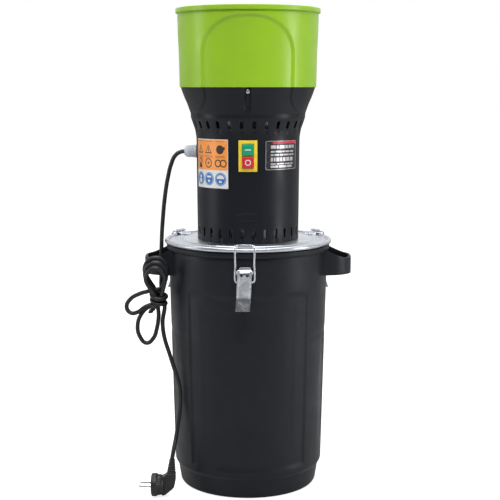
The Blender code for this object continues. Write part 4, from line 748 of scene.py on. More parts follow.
deep = PLUG_RIGHT - PLUG_LEFT
head_line = [(0, 0, 0), (0.0165, 0, 0.0008), (0.0165, 0.0010, 0), (PLUG_R - 0.0006, 0.0010, 0.0006),
             (PLUG_R, 0.0030, 0.0010), (PLUG_R, 0.0085, 0.0010), (PLUG_R - 0.0016, 0.0105, 0.0010),
             (PLUG_R - 0.0022, 0.0160, 0.0020), (0.0130, deep - 0.0010, 0.0040), (0.0060, deep, 0.0020), (0, deep, 0)]
head = lying(rounded(head_line), 96, (PLUG_LEFT, PLUG_Y, PLUG_Z))
for vert in head.verts:
    radius = hypot(vert.co.y - PLUG_Y, vert.co.z - PLUG_Z)
    angle = atan2(vert.co.z - PLUG_Z, vert.co.y - PLUG_Y)
    if radius > 0.0150 and vert.co.x > PLUG_LEFT + 0.0100:
        groove = 1 - 0.035 * max(0.0, cos(32 * angle))
        vert.co.y = PLUG_Y + (vert.co.y - PLUG_Y) * groove
        vert.co.z = PLUG_Z + (vert.co.z - PLUG_Z) * groove
piece("plug_head", head, RUBBER, stands_for=["plug_body"])

ELBOW = [(-0.1420, 0.0030, 0.002), (-0.1368, 0.0030, 0.003), (-0.1215, 0.0155, 0.004), (-0.1190, 0.0260, 0.004),
         (-0.1190, 0.0390, 0.001), (-0.1334, 0.0390, 0.001), (-0.1372, 0.0350, 0.003), (-0.1420, 0.0340, 0.002)]
elbow = prism(rounded(ELBOW), 0.0160, lambda a, b, c: (a, c, b))
soften(elbow, 0.0022, 3)
piece("plug_elbow", move_by(elbow, (0, PLUG_Y, 0)), RUBBER, stands_for=["plug_body"])

RELIEF_LOW = Vector((-0.1262, PLUG_Y, 0.0390))
relief_line = [(0, 0)]
for rib in range(6):
    share = rib / 6
    outer = 0.0072 + (0.0044 - 0.0072) * share
    rise = RELIEF_TOP.z - RELIEF_LOW.z
    relief_line += [(outer - 0.0003, rise * share), (outer, rise * (share + 0.02)), (outer, rise * (share + 0.09)),
                    (outer - 0.0003, rise * (share + 0.105)), (outer - 0.0014, rise * (share + 0.11)),
                    (outer - 0.0014, rise * (share + 0.155))]
relief_line += [(0.0040, rise), (CORD_R + 0.0001, rise + 0.0002), (0, rise + 0.0002)]
relief = turned(relief_line, 40, closed=False)
for vert in relief.verts:
    share = vert.co.z / rise
    vert.co += Vector((RELIEF_LOW.x + (RELIEF_TOP.x - RELIEF_LOW.x) * share,
                       RELIEF_LOW.y + (RELIEF_TOP.y - RELIEF_LOW.y) * share, RELIEF_LOW.z))
piece("plug_strain_relief", relief, RUBBER, stands_for=["plug_relief"], crease=50)

for name, way in (("front", -1), ("rear", 1)):
    pin_line = rounded([(0, 0, 0), (0.0014, 0, 0.0006), (0.0024, 0.0012, 0.0008), (0.0024, 0.0192, 0), (0, 0.0192, 0)])
    pin = lying(pin_line, 32, (PLUG_LEFT - 0.0193, PLUG_Y + way * 0.0095, PLUG_Z + 0.0010))
    piece("plug_pin_" + name + "_round", pin, NICKEL, stands_for=["plug_pin_" + name])

# %% [markdown]
# ## Hopper
# The hopper is a turned wall with a rolled rim and a collar below.  Three arched panels are pressed
# into it.  To keep their border soft, the wall is made of small faces first, and each point is then
# pushed in by how far it lies inside the arch.

# %% Hopper wall
ARCH_HALF = radians(40)
ARCH_TOP = RIM_TOP - 0.0145
ARCH_SPRING = ARCH_TOP - 0.0660
ARCH_DEPTH = 0.0030
ARCH_BORDER = 0.0058


def arch_outline(radius=0.1145, squareness=2.3):
    """Arch as (along the wall, height): a straight side, then a quarter of a squared oval to the top."""
    line = [(ARCH_HALF * radius, JOINT_Z - 0.02), (ARCH_HALF * radius, ARCH_SPRING)]
    for step in range(1, 33):
        share = sin(radians(90) * step / 32)
        across_front = sin(ARCH_HALF) * max(0.0, 1 - share ** squareness) ** (1 / squareness)
        line.append((asin(across_front) * radius, ARCH_SPRING + (ARCH_TOP - ARCH_SPRING) * share))
    return line


def to_line(line, x, y):
    """Shortest distance from a point to a line of points."""
    best = 1.0
    for (x0, y0), (x1, y1) in zip(line, line[1:]):
        dx, dy = x1 - x0, y1 - y0
        share = min(1.0, max(0.0, ((x - x0) * dx + (y - y0) * dy) / (dx * dx + dy * dy)))
        best = min(best, hypot(x - x0 - share * dx, y - y0 - share * dy))
    return best


ARCH = arch_outline()


def arch_half_at(height):
    """Half width of the arch along the wall at a height."""
    if height >= ARCH_TOP:
        return 0.0
    for (x0, z0), (x1, z1) in zip(ARCH[1:], ARCH[2:]):
        if z0 <= height <= z1 and z1 > z0:
            return x0 + (x1 - x0) * (height - z0) / (z1 - z0)
    return ARCH[0][0]


def third_of(angle):
    """Angle from the middle of the nearest of the three panels."""
    return (angle + radians(60)) % radians(120) - radians(60)


sunk_so_far = {}


def arch_sink(angle, radius, height):
    outer = radius_at(HOPPER_PROFILE, height)
    if radius < outer - 0.0008 or height > RIM_TOP - 0.0085 or height < JOINT_Z - 0.0001:
        return 0.0
    key = (round(abs(third_of(angle)), 4), round(height, 5))
    if key not in sunk_so_far:
        along = key[0] * 0.1145
        far = to_line(ARCH, along, height)
        inside = height < ARCH_TOP and along < arch_half_at(height)
        sunk_so_far[key] = ARCH_DEPTH * ease(far if inside else -far, -0.0012, ARCH_BORDER - 0.0012)
    return sunk_so_far[key]


HOPPER_STEPS = 486
COLLAR_TOP_R = 0.1124 - 0.0080
COLLAR_LOW_R = COLLAR_TOP_R - (0.1120 - radius_at(HOUSING_PROFILE, JOINT_Z - 0.015))
FLOOR_Z = JOINT_Z - 0.026
FLOOR_R = 0.0865
under_rim = RIM_TOP - 0.008
wall = split_up([HOPPER_PROFILE[0], (0.11595, under_rim - 0.0012)], 0.0014)
rim = rounded([(0.1160, under_rim, 0.0006), (0.1190, under_rim + 0.0004, 0.0014), (0.1190, RIM_TOP, 0.0018),
               (0.1176, RIM_TOP, 0.0006), (0.1118, RIM_TOP, 0.0016), (0.1116, under_rim, 0.0010)])
inside = split_up([(0.1116, under_rim - 0.004), (0.1082, JOINT_Z + 0.012)], 0.02)
funnel = rounded([(0.1080, JOINT_Z + 0.009, 0.004), (0.0885, FLOOR_Z + 0.0002, 0.003), (FLOOR_R, FLOOR_Z, 0),
                  (FLOOR_R, FLOOR_Z - 0.003, 0), (0.088, FLOOR_Z - 0.003, 0.002),
                  (COLLAR_LOW_R - 0.003, JOINT_Z - 0.0105, 0.001), (COLLAR_LOW_R - 0.003, JOINT_Z - 0.015, 0.0005),
                  (COLLAR_LOW_R, JOINT_Z - 0.015, 0.0005), (COLLAR_TOP_R, JOINT_Z, 0)])
hopper = turned(wall + rim + inside + funnel, HOPPER_STEPS)
push(hopper, arch_sink)
piece("hopper_shell", hopper, HOPPER_GREEN, stands_for=["hopper"], crease=40)

# %% Hopper floor with the port to the grain duct
PORT_INNER, PORT_OUTER, PORT_HALF = 0.0600, 0.0785, radians(27)


def upright_sector(low, high, inner_r, outer_r, half_angle, centre=pi, columns=16):
    """Curved block between two radii, round an angle."""
    line = [(outer_r, half_angle * (2 * k / columns - 1)) for k in range(columns + 1)]
    line += [(inner_r, half_angle * (1 - 2 * k / columns)) for k in range(columns + 1)]
    points = [around(centre + angle, radius) for radius, angle in line]
    return move_by(prism([(p.x, p.y) for p in points], high - low, lambda a, b, c: (a, b, c)),
                   (0, 0, (low + high) / 2))


floor_plate = turned([(0, FLOOR_Z), (FLOOR_R, FLOOR_Z), (FLOOR_R, FLOOR_Z - 0.003), (0, FLOOR_Z - 0.003)], 96,
                     closed=False)
port = upright_sector(FLOOR_Z - 0.01, FLOOR_Z + 0.01, PORT_INNER, PORT_OUTER, PORT_HALF)
floor_plate = carved(floor_plate, port)
floor_plate = carved(floor_plate, rod(0.0024, 0.02, (0, 0, FLOOR_Z)))
piece("hopper_floor", floor_plate, HOPPER_GREEN, stands_for=["hopper"])

# %% [markdown]
# ## Motor housing
# The housing starts as one thin skin: an outline turned in 28 equal cells, one for each pair of slots.
# The columns of faces in a cell are moved together round the slot, the slot's faces are taken out and
# their corners rounded, and only then does the skin get its wall thickness.

# %% Housing skin
CELLS = 28
CELL = 2 * pi / CELLS
CELL_COLUMNS = [-0.00960, -0.00845, -0.00735, -0.00625, -0.00515, -0.00400, -0.00290, -0.00145,
                0.0, 0.00145, 0.00290, 0.00400, 0.00515, 0.00625, 0.00735, 0.00845]
SLOT_R = 0.0855
UPPER_SLOT = (JOINT_Z - 0.0665, JOINT_Z - 0.0540)
LOWER_SLOT = (LID_TOP + 0.0080, LID_TOP + 0.0230)
SLOT_HALF = 0.0029


def slot_rows(low, high):
    half = SLOT_HALF
    return [low, low + 0.4 * half, low + half, low + 2 * half, high - 2 * half, high - half, high - 0.4 * half, high]


FIELD_LOW = JOINT_Z - 0.0425
heights = [LID_TOP + GAP, LID_TOP + 0.0015, LID_TOP + 0.0045] + slot_rows(*LOWER_SLOT)
heights += [0.4415, 0.4450] + [0.4500 + 0.0012 * k for k in range(17)] + [0.4750, 0.4900, 0.5100]
heights += [0.5300, 0.5365, 0.5480, 0.5590, 0.5700, 0.5795, 0.5860, 0.5905, 0.5930, 0.5950, 0.5970, 0.5988]
heights += slot_rows(*UPPER_SLOT) + [0.6142, 0.6160, 0.6180, 0.6200, 0.6220]
heights += [FIELD_LOW - 0.0010 + (JOINT_Z - GAP - FIELD_LOW + 0.0010) * k / 34 for k in range(35)]
heights = sorted(height for index, height in enumerate(sorted(set(round(z, 5) for z in heights))))
skin = turned([(radius_at(HOUSING_PROFILE, z), z) for z in heights], CELLS * len(CELL_COLUMNS), closed=False)


def cell_column(angle):
    """Which cell and column a point belongs to."""
    step = CELL / len(CELL_COLUMNS)
    number = round(angle / step) % (CELLS * len(CELL_COLUMNS))
    cell, column = divmod(number, len(CELL_COLUMNS))
    return cell, column


for vert in skin.verts:
    cell, column = cell_column(atan2(vert.co.x, -vert.co.y) % (2 * pi))
    offset = CELL_COLUMNS[column]
    if vert.co.z < 0.4460:
        offset *= 1 - 0.14 * (1 - abs(offset) / 0.0096)
    radius = hypot(vert.co.x, vert.co.y)
    moved = around(CELL * (cell + 0.5) + offset / SLOT_R, radius, vert.co.z)
    vert.co = moved


def cell_offset(angle):
    """Distance along the wall from the middle of the slot."""
    return ((angle / CELL) % 1.0 - 0.5) * CELL * SLOT_R


def in_slot(face):
    middle = face.calc_center_median()
    offset = abs(cell_offset(atan2(middle.x, -middle.y)))
    return offset < SLOT_HALF and any(low < middle.z < high for low, high in (UPPER_SLOT, LOWER_SLOT))


def behind_switch(face):
    middle = face.calc_center_median()
    return middle.y < 0 and abs(middle.x) < 0.0125 and abs(middle.z - SWITCH_Z) < 0.0230


SWITCH_Z = JOINT_Z - 0.1090
gone = [face for face in skin.faces if in_slot(face) or behind_switch(face)]
bmesh.ops.delete(skin, geom=gone, context="FACES")
for vert in [vert for vert in skin.verts if vert.is_boundary]:
    angle = atan2(vert.co.x, -vert.co.y)
    offset = cell_offset(angle)
    for (low, high), half in ((UPPER_SLOT, SLOT_HALF), (LOWER_SLOT, SLOT_HALF * 0.90)):
        if not low - 0.0001 < vert.co.z < high + 0.0001:
            continue
        centre = high - half if vert.co.z > (low + high) / 2 else low + half
        rise = vert.co.z - centre
        if rise * (vert.co.z - (low + high) / 2) > 0 and hypot(offset, rise) > half:
            share = 0.45 + 0.55 * half / hypot(offset, rise)
            vert.co = around(angle + offset * (share - 1) / SLOT_R, hypot(vert.co.x, vert.co.y),
                             centre + rise * share)


def field_half(height):
    """Half angle of a sunk field of the cone: the lobes between them run out to a point."""
    share = min(1.0, max(0.0, (JOINT_Z - height) / 0.042))
    return ARCH_HALF + radians(19.6) * share ** 3


def housing_sink(angle, radius, height):
    """Fields and screw channels of the cone, the grooves under the slots, and the oval dimple."""
    sink = 0.0
    if height > FIELD_LOW - 0.0080:
        field = third_of(angle)
        inside = (field_half(height) - abs(field)) * radius
        sink += 0.0020 * ease(inside, -0.0004, 0.0030) * ease(height, FIELD_LOW - 0.0080, FIELD_LOW + 0.0010)
        across = field * radius
        fade = ease(height, JOINT_Z - 0.0420, JOINT_Z - 0.0300)
        if abs(across) < 0.0056:
            sink += max(0.0, sqrt(0.0056 ** 2 - across ** 2) - 0.0012) * fade
    offset = abs(cell_offset(angle))
    if height < LOWER_SLOT[0] + 0.0001:
        sink += 0.0009 * (1 - ease(offset, 0.0024, 0.0032))
    if UPPER_SLOT[0] - 0.0085 < height < UPPER_SLOT[0] + 0.0001:
        sink += 0.0009 * (1 - ease(offset, 0.0026, 0.0036)) * ease(height, UPPER_SLOT[0] - 0.0085, UPPER_SLOT[0] - 0.0040)
    if 0.4490 < height < 0.4700 and abs(angle) < 0.4:
        off = hypot(angle * radius / 0.0200, (height - 0.4596) / 0.0062)
        sink += 0.0008 * (1 - ease(off, 0.86, 1.04))
    return sink


push(skin, housing_sink)
housing = piece("motor_housing", skin, HOUSING_BLACK, stands_for=["housing"], crease=42,
                skin=True)
soft_edges(thicken(housing, 0.0030), 0.0004, 2, 60)

# %% [markdown]
# ## Screws, switch and buttons
# The hopper is held by three pan head screws in the channels of the cone.  The switch is a yellow
# plate with two caps in raised collars.  The caps carry only a bar and a ring, raised a fifth of a
# millimetre, and ride on the bodies that slide in.

# %% Screws in the cone
screw_z = JOINT_Z - 0.0065
screw_face = -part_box("hopper_screw_front")[0].y
for side, angle in THIRDS.items():
    head_line = rounded([(0, 0, 0), (0.0022, 0, 0.0006), (0.0036, -0.0010, 0.0008), (0.0037, -0.0022, 0.0002),
                         (0.0020, -0.0022, 0), (0.0020, -0.0060, 0.0003), (0, -0.0062, 0)])
    screw = turned(head_line, 32, closed=False)
    bmesh.ops.rotate(screw, cent=(0, 0, 0), matrix=Matrix.Rotation(pi / 2, 3, "X"), verts=screw.verts)
    for width, height in ((0.0036, 0.0008), (0.0008, 0.0036)):
        screw = carved(screw, block(width, 0.0018, height))
    move_by(screw, (0, -screw_face, screw_z))
    piece("cone_screw_" + side, turn_by(screw, angle), ZINC, stands_for=["hopper_screw_" + side])

# %% Switch plate and buttons
PLATE_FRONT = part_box("switch_body")[0].y
PLATE_W, PLATE_H, PROUD = 0.0300, 0.0500, 0.0036
CAP, PITCH = 0.0180, 0.0202
plate = block(PLATE_W, PROUD, PLATE_H, (0, PLATE_FRONT + PROUD / 2, SWITCH_Z))
soften(plate, 0.0007, 3)
for way in (-1, 1):
    pocket = block(CAP + 0.0012, 0.02, CAP + 0.0012, (0, PLATE_FRONT + 0.005, SWITCH_Z + way * PITCH / 2))
    plate = carved(plate, pocket)
piece("switch_plate", plate, YELLOW, stands_for=["switch_body"])
ring = block(CAP + 0.0030, 0.0016, 2 * PITCH + 0.0030, (0, PLATE_FRONT - 0.0002, SWITCH_Z))
for way in (-1, 1):
    ring = carved(ring, block(CAP + 0.0010, 0.02, CAP + 0.0010, (0, PLATE_FRONT, SWITCH_Z + way * PITCH / 2)))
piece("switch_collar", soften(ring, 0.0003, 2), YELLOW, stands_for=["switch_body"])
case = block(0.0236, 0.0200, 0.0426, (0, PLATE_FRONT + PROUD + 0.0122, SWITCH_Z))
for way in (-1, 1):
    case = carved(case, block(CAP + 0.0012, 0.0300, CAP + 0.0012, (0, PLATE_FRONT - 0.0010, SWITCH_Z + way * PITCH / 2)))
piece("switch_case", case, HOUSING_BLACK, stands_for=["switch_body"])

for name, way, cap_finish, slot_name in (("start", 1, GREEN_CAP, "green_button"), ("stop", -1, RED_CAP, "red_button")):
    low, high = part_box(name + "_button")
    middle_z = (low.z + high.z) / 2
    cap = soften(block(CAP, high.y - low.y, CAP, (0, (low.y + high.y) / 2, middle_z)), 0.0011, 3)
    piece(name + "_cap", cap, cap_finish, body=name, stands_for=[name + "_button"])
    if name == "start":
        mark = block(0.0100, 0.0006, 0.0016, (0, low.y, middle_z))
    else:
        mark = turned([(0.0033, -0.0003), (0.0048, -0.0003), (0.0048, 0.0003), (0.0033, 0.0003)], 40)
        bmesh.ops.rotate(mark, cent=(0, 0, 0), matrix=Matrix.Rotation(pi / 2, 3, "X"), verts=mark.verts)
        move_by(mark, (0, low.y, middle_z))
    piece(name + "_mark", soften(mark, 0.00012, 1), WHITE_INK, body=name)

# %% [markdown]
# ## Labels
# The two labels are thin sheets bent round the housing.  Each is drawn flat, cut into narrow strips so
# that it can bend, and then rolled on.  They carry only plain shapes: triangles, rings, discs and bars.

# %% Bent sheets
LABEL_LIFT = 0.0004


def bend_on(shape, centre, lift, step=0.0030):
    """Rolls a flat shape, drawn in X and Z with its face to -Y, onto the housing at an angle."""
    reach = max(abs(vert.co.x) for vert in shape.verts)
    for index in range(-int(reach / step), int(reach / step) + 1):
        bmesh.ops.bisect_plane(shape, geom=shape.verts[:] + shape.edges[:] + shape.faces[:], dist=1e-6,
                               plane_co=(index * step, 0, 0), plane_no=(1, 0, 0))
    for vert in shape.verts:
        radius = radius_at(HOUSING_PROFILE, vert.co.z)
        vert.co = around(centre + vert.co.x / radius, radius + lift - vert.co.y, vert.co.z)
    return shape


def flat(outline, thickness, shape=None):
    """Flat shape in X and Z of a given thickness, standing on the sheet."""
    return prism(outline, thickness, lambda a, b, c: (a, c - thickness / 2, b), shape)


def tile(x, z, width, height, corner=0.0):
    corners = [(x - width / 2, z - height / 2, corner), (x + width / 2, z - height / 2, corner),
               (x + width / 2, z + height / 2, corner), (x - width / 2, z + height / 2, corner)]
    return rounded(corners)


def disc(x, z, radius, steps=28):
    return [(x + radius * cos(2 * pi * k / steps), z + radius * sin(2 * pi * k / steps)) for k in range(steps)]


def ring_shape(outline, hole, thickness, shape):
    """Outline with a hole of the same number of points, as a band."""
    count = len(outline)
    for k in range(count):
        after = (k + 1) % count
        flat([outline[k], outline[after], hole[after], hole[k]], thickness, shape)


def triangle(x, z, size):
    return [(x - size, z - 0.80 * size), (x + size, z - 0.80 * size), (x, z + 0.95 * size)]


# %% Warning label
label_low, label_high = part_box("warning_label")[0].z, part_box("warning_label")[1].z
WARNING_AT, WARNING_HALF = radians(-46.5), 0.0370
label_mid = (label_low + label_high) / 2
label_tall = label_high - label_low
sheet = flat(tile(0, label_mid, 2 * WARNING_HALF, label_tall, 0.0012), 0.0003)
piece("warning_sheet", bend_on(sheet, WARNING_AT, LABEL_LIFT), WHITE_INK, stands_for=["warning_label"])
orange_low = label_high - 0.0495
orange = flat(tile(0, (orange_low + label_high - 0.0010) / 2, 2 * WARNING_HALF - 0.0018,
                   label_high - 0.0010 - orange_low, 0.0008), 0.00012)
piece("warning_field", bend_on(orange, WARNING_AT, LABEL_LIFT + 0.0003), ORANGE_INK)

marks = bmesh.new()
top_row, low_row = label_high - 0.0165, label_high - 0.0385
for x in (-0.0245, -0.0020):
    ring_shape(triangle(x, top_row, 0.0078), triangle(x, top_row, 0.0058), 0.0001, marks)
    flat(tile(x, top_row - 0.0008, 0.0014, 0.0060, 0.0004), 0.0001, marks)
flat(disc(0.0225, top_row, 0.0072), 0.0001, marks)
flat(tile(0.0275, top_row + 0.0020, 0.0080, 0.0045, 0.0010), 0.0001, marks)
ring_shape(disc(-0.0245, low_row + 0.0030, 0.0052), disc(-0.0245, low_row + 0.0030, 0.0034), 0.0001, marks)
flat(tile(-0.0245, low_row - 0.0050, 0.0085, 0.0058, 0.0015), 0.0001, marks)
ring_shape(disc(-0.0020, low_row, 0.0078), disc(-0.0020, low_row, 0.0062), 0.0001, marks)
flat(disc(-0.0020, low_row, 0.0018), 0.0001, marks)
for x in (0.0185, 0.0285):
    ring_shape(disc(x, low_row, 0.0062), disc(x, low_row, 0.0044), 0.0001, marks)
for row in (top_row - 0.0105, top_row - 0.0125, label_high - 0.0035):
    for x in (-0.0245, -0.0010, 0.0225):
        flat(tile(x, row, 0.0175, 0.0005), 0.0001, marks)
piece("warning_marks", bend_on(marks, WARNING_AT, LABEL_LIFT + 0.00042), DARK_INK)

blue, white = bmesh.new(), bmesh.new()
disc_row = label_low + 0.0150
for x in (-0.0245, -0.0010, 0.0230):
    flat(disc(x, disc_row, 0.0106, 40), 0.0001, blue)
    ring_shape(disc(x, disc_row, 0.0094, 40), disc(x, disc_row, 0.0088, 40), 0.0001, white)
flat(disc(-0.0245, disc_row + 0.0030, 0.0030), 0.0001, white)
flat(tile(-0.0245, disc_row - 0.0035, 0.0070, 0.0060, 0.0010), 0.0001, white)
flat(tile(-0.0010, disc_row + 0.0035, 0.0100, 0.0030, 0.0012), 0.0001, white)
flat(disc(-0.0010, disc_row - 0.0035, 0.0022), 0.0001, white)
flat([(0.0230 + 0.0070 * cos(pi * k / 14), disc_row + 0.0005 + 0.0062 * sin(pi * k / 14)) for k in range(15)],
     0.0001, white)
flat(tile(0.0230, disc_row - 0.0042, 0.0050, 0.0036, 0.0010), 0.0001, white)
piece("warning_discs", bend_on(blue, WARNING_AT, LABEL_LIFT + 0.00032), BLUE_INK)
piece("warning_disc_marks", bend_on(white, WARNING_AT, LABEL_LIFT + 0.00044), WHITE_INK)

# %% Rating plate
plate_low, plate_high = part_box("rating_label")[0].z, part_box("rating_label")[1].z
RATING_AT, RATING_HALF = radians(41.5), 0.0338
plate_mid = (plate_low + plate_high) / 2
sheet = flat(tile(0, plate_mid, 2 * RATING_HALF, plate_high - plate_low, 0.0025), 0.0003)
piece("rating_sheet", bend_on(sheet, RATING_AT, LABEL_LIFT), PLATE_DARK, stands_for=["rating_label"])
band = flat(tile(0.0060, plate_high - 0.0030, 2 * RATING_HALF - 0.0140, 0.0044, 0.0008), 0.0001)
piece("rating_band", bend_on(band, RATING_AT, LABEL_LIFT + 0.0003), PLATE_RED)
lines = bmesh.new()
ring_shape(tile(0, plate_mid, 2 * RATING_HALF - 0.0008, plate_high - plate_low - 0.0008, 0.0024),
           tile(0, plate_mid, 2 * RATING_HALF - 0.0020, plate_high - plate_low - 0.0020, 0.0020), 0.0001, lines)
LINE_ROWS = [(0.0100, 0.0052, [9, 4, 11, 6, 8, 5]), (0.0175, 0.0026, [7, 12, 5, 9, 10]),
             (0.0228, 0.0026, [5, 9, 7, 11, 6, 4]), (0.0300, 0.0062, [4, 3, 6, 4, 6, 7, 8]),
             (0.0372, 0.0020, [9, 6, 8, 12, 7]), (0.0415, 0.0034, [14, 16, 12])]
for below, tall, widths in LINE_ROWS:
    x = -0.0245
    for width in widths:
        flat(tile(x + width / 2000, plate_high - below, width / 1000, tall, 0.0003), 0.0001, lines)
        x += width / 1000 + 0.0016
piece("rating_lines", bend_on(lines, RATING_AT, LABEL_LIFT + 0.0003), PLATE_PALE)

# %% [markdown]
# ## Cable gland
# A nylon gland through the left of the housing: a flanged body, and a domed nut with flutes to grip.
# Both are turned, and the flutes are pushed into the nut's wall.

# %% Gland
gland_x = -radius_at(HOUSING_PROFILE, GLAND_Z) - 0.0002
body_line = rounded([(0.0039, -0.0120, 0), (0.0073, -0.0120, 0.0005), (0.0073, 0, 0), (0.0108, 0, 0.0004),
                     (0.0108, 0.0045, 0.0008), (0.0078, 0.0046, 0), (0.0078, 0.0140, 0), (0.0039, 0.0140, 0)])
nut_line = rounded([(0.0079, 0.0048, 0), (0.0100, 0.0048, 0.0004), (0.0100, 0.0140, 0.0006),
                    (0.0092, 0.0165, 0.0012), (0.0075, 0.0192, 0.0020), (0.0052, 0.0203, 0.0008),
                    (0.0039, 0.0196, 0.0005), (0.0038, 0.0142, 0), (0.0079, 0.0142, 0)])
for name, line, steps, stands in (("gland_body", body_line, 60, "cable_gland"), ("gland_dome", nut_line, 144, "gland_nut")):
    shape = turned(line, steps)
    if name == "gland_dome":
        for vert in shape.verts:
            radius = hypot(vert.co.x, vert.co.y)
            if radius > 0.0094 and vert.co.z < 0.0145:
                flute = 1 - 0.055 * max(0.0, cos(18 * atan2(vert.co.y, vert.co.x))) ** 2
                vert.co.x *= flute
                vert.co.y *= flute
    bmesh.ops.rotate(shape, cent=(0, 0, 0), matrix=Matrix.Rotation(-pi / 2, 3, "Y"), verts=shape.verts)
    piece(name, move_by(shape, (gland_x, 0, GLAND_Z)), NYLON, stands_for=[stands])

# %% [markdown]
# ## Lid and seal
# The lid is pressed from thin galvanised sheet: a raised middle, two shallow steps, a groove and a
# rolled edge.  All of that is in its turned outline.

# %% Lid
BEAD_R = 0.0038
BEAD_MID = 0.1400 - BEAD_R
FLAT_Z = LID_TOP - 0.0018
BEAD_Z = FLAT_Z - BEAD_R + 0.0026
lid_line = [(0.0596, LID_TOP), (0.1060, LID_TOP), (0.1085, LID_TOP - 0.0004), (0.1098, FLAT_Z)]
for ridge in (0.1135, 0.1185, 0.1235):
    lid_line += [(ridge, FLAT_Z), (ridge + 0.0006, FLAT_Z + 0.0003), (ridge + 0.0014, FLAT_Z + 0.0003),
                 (ridge + 0.0020, FLAT_Z)]
lid_line += [(0.1290, FLAT_Z), (0.1302, FLAT_Z - 0.0010), (0.1322, FLAT_Z - 0.0010), (0.1330, FLAT_Z)]
for step in range(19):
    angle = radians(158 - step * 16)
    lid_line.append((BEAD_MID + BEAD_R * cos(angle), BEAD_Z + BEAD_R * sin(angle)))
lid_line += [(0.1330, FLAT_Z - 0.0022), (0.1298, FLAT_Z - 0.0022), (0.1286, FLAT_Z - 0.0012),
             (0.1098, FLAT_Z - 0.0012), (0.1080, LID_TOP - 0.0012), (0.0596, LID_TOP - 0.0012)]
lid = carved(turned(lid_line, 240), upright_sector(LID_TOP - 0.004, LID_TOP + 0.002, 0.0535, 0.0810, radians(29.4)))
piece("lid_sheet", lid, GALVANISED, stands_for=["lid"], crease=28)

seal_low, seal_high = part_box("bin_seal")[0].z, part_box("bin_seal")[1].z
seal_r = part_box("bin_seal")[1].x
seal_line = rounded([(seal_r - 0.0045, seal_low, 0.0010), (seal_r, seal_low, 0.0010), (seal_r, seal_high, 0.0010),
                     (seal_r - 0.0045, seal_high, 0.0010)])
piece("lid_seal", turned(seal_line, 160), SEAL_RUBBER, stands_for=["bin_seal"])

# %% [markdown]
# ## Toggle latches
# Each latch is a bent keeper on the lid, a base plate with two ears riveted to the bin, a pressed lever
# and a wire bail.  They are drawn at the front and then turned to their places.  The lever rides on its
# own body, and so does the bail, because both swing.

# %% Latches
LATCHES = {"front": radians(-2), "right": radians(120), "left": radians(-120)}
PIVOT = Vector((0, -0.1425, BIN_HEIGHT - 0.0300))
BAIL_FOOT = Vector((0, PIVOT.y + 0.0010, PIVOT.z - 0.0150))
SHEET = 0.0015
LEVER_W = 0.0230
BAIL_REACH = 0.0152
WIRE_R = 0.0015
KEEPER_SEAT = FLAT_Z + 0.0026 + SHEET + GAP
EAR_X = LEVER_W / 2 - SHEET - 0.0006 - SHEET / 2
TO_WALL = -(0.1330 + GAP) - PIVOT.y
across = lambda a, b, c: (c, a, b)


def keeper_shape():
    outer = 0.1390
    line = rounded([(-outer, KEEPER_SEAT - SHEET, 0.0006), (-outer, KEEPER_SEAT + 0.0040, 0.0007),
                    (-outer + SHEET, KEEPER_SEAT + 0.0040, 0.0007), (-outer + SHEET, KEEPER_SEAT, 0.0010),
                    (-outer + 0.0105, KEEPER_SEAT, 0.0015), (-outer + 0.0125, FLAT_Z + GAP + SHEET, 0.0012),
                    (-outer + 0.0270, FLAT_Z + GAP + SHEET, 0.0003), (-outer + 0.0270, FLAT_Z + GAP, 0.0003),
                    (-outer + 0.0115, FLAT_Z + GAP, 0.0012), (-outer + 0.0095, KEEPER_SEAT - SHEET, 0.0015)])
    shape = soften(prism(line, LEVER_W, across), 0.0003, 2, 50)
    for way in (-1, 1):
        rod(0.0024, 0.0012, (way * 0.0060, -outer + 0.0205, FLAT_Z + GAP + SHEET + 0.0004), segments=20, shape=shape,
            radius2=0.0015)
    return shape


def base_shape():
    plate = rounded([(-0.0091, 0.0080, 0.0035), (0.0091, 0.0080, 0.0035), (0.0091, -0.0515, 0.0035),
                     (-0.0091, -0.0515, 0.0035)])
    shape = prism(plate, SHEET, lambda a, b, c: (a, TO_WALL - SHEET / 2 + c, b))
    ear = rounded([(-0.0040, 0.0043, 0.0040), (-0.0040, -0.0053, 0.0040), (TO_WALL - 0.0003, -0.0053, 0.0002),
                   (TO_WALL - 0.0003, 0.0043, 0.0002)])
    for way in (-1, 1):
        slab = prism(ear, SHEET, across)
        move_by(slab, (way * EAR_X, 0, 0))
        mesh = bpy.data.meshes.new("ear")
        slab.to_mesh(mesh)
        slab.free()
        shape.from_mesh(mesh)
    soften(shape, 0.0002, 1, 60)
    rod(0.0020, LEVER_W + 0.0010, axis="X", shape=shape)
    for way in (-1, 1):
        rod(0.0031, 0.0011, (way * (LEVER_W / 2 + 0.0009), 0, 0), "X", 24, shape)
    for height in (-0.0200, -0.0430):
        rod(0.0018, 0.0012, (0, TO_WALL - SHEET - 0.0005, height), "Y", 24, shape, radius2=0.0032)
    return shape


# The window in the lever's head: two shoulders above and a tongue that stands up in the middle below.
LEVER_WINDOW = [(-0.0078, 0.0030, 0.0012), (0.0078, 0.0030, 0.0012), (0.0078, -0.0020, 0.0012),
                (0.0056, -0.0052, 0.0010), (0.0032, -0.0052, 0.0006), (0.0020, -0.0022, 0.0010),
                (-0.0020, -0.0022, 0.0010), (-0.0032, -0.0052, 0.0006), (-0.0056, -0.0052, 0.0010),
                (-0.0078, -0.0020, 0.0012)]


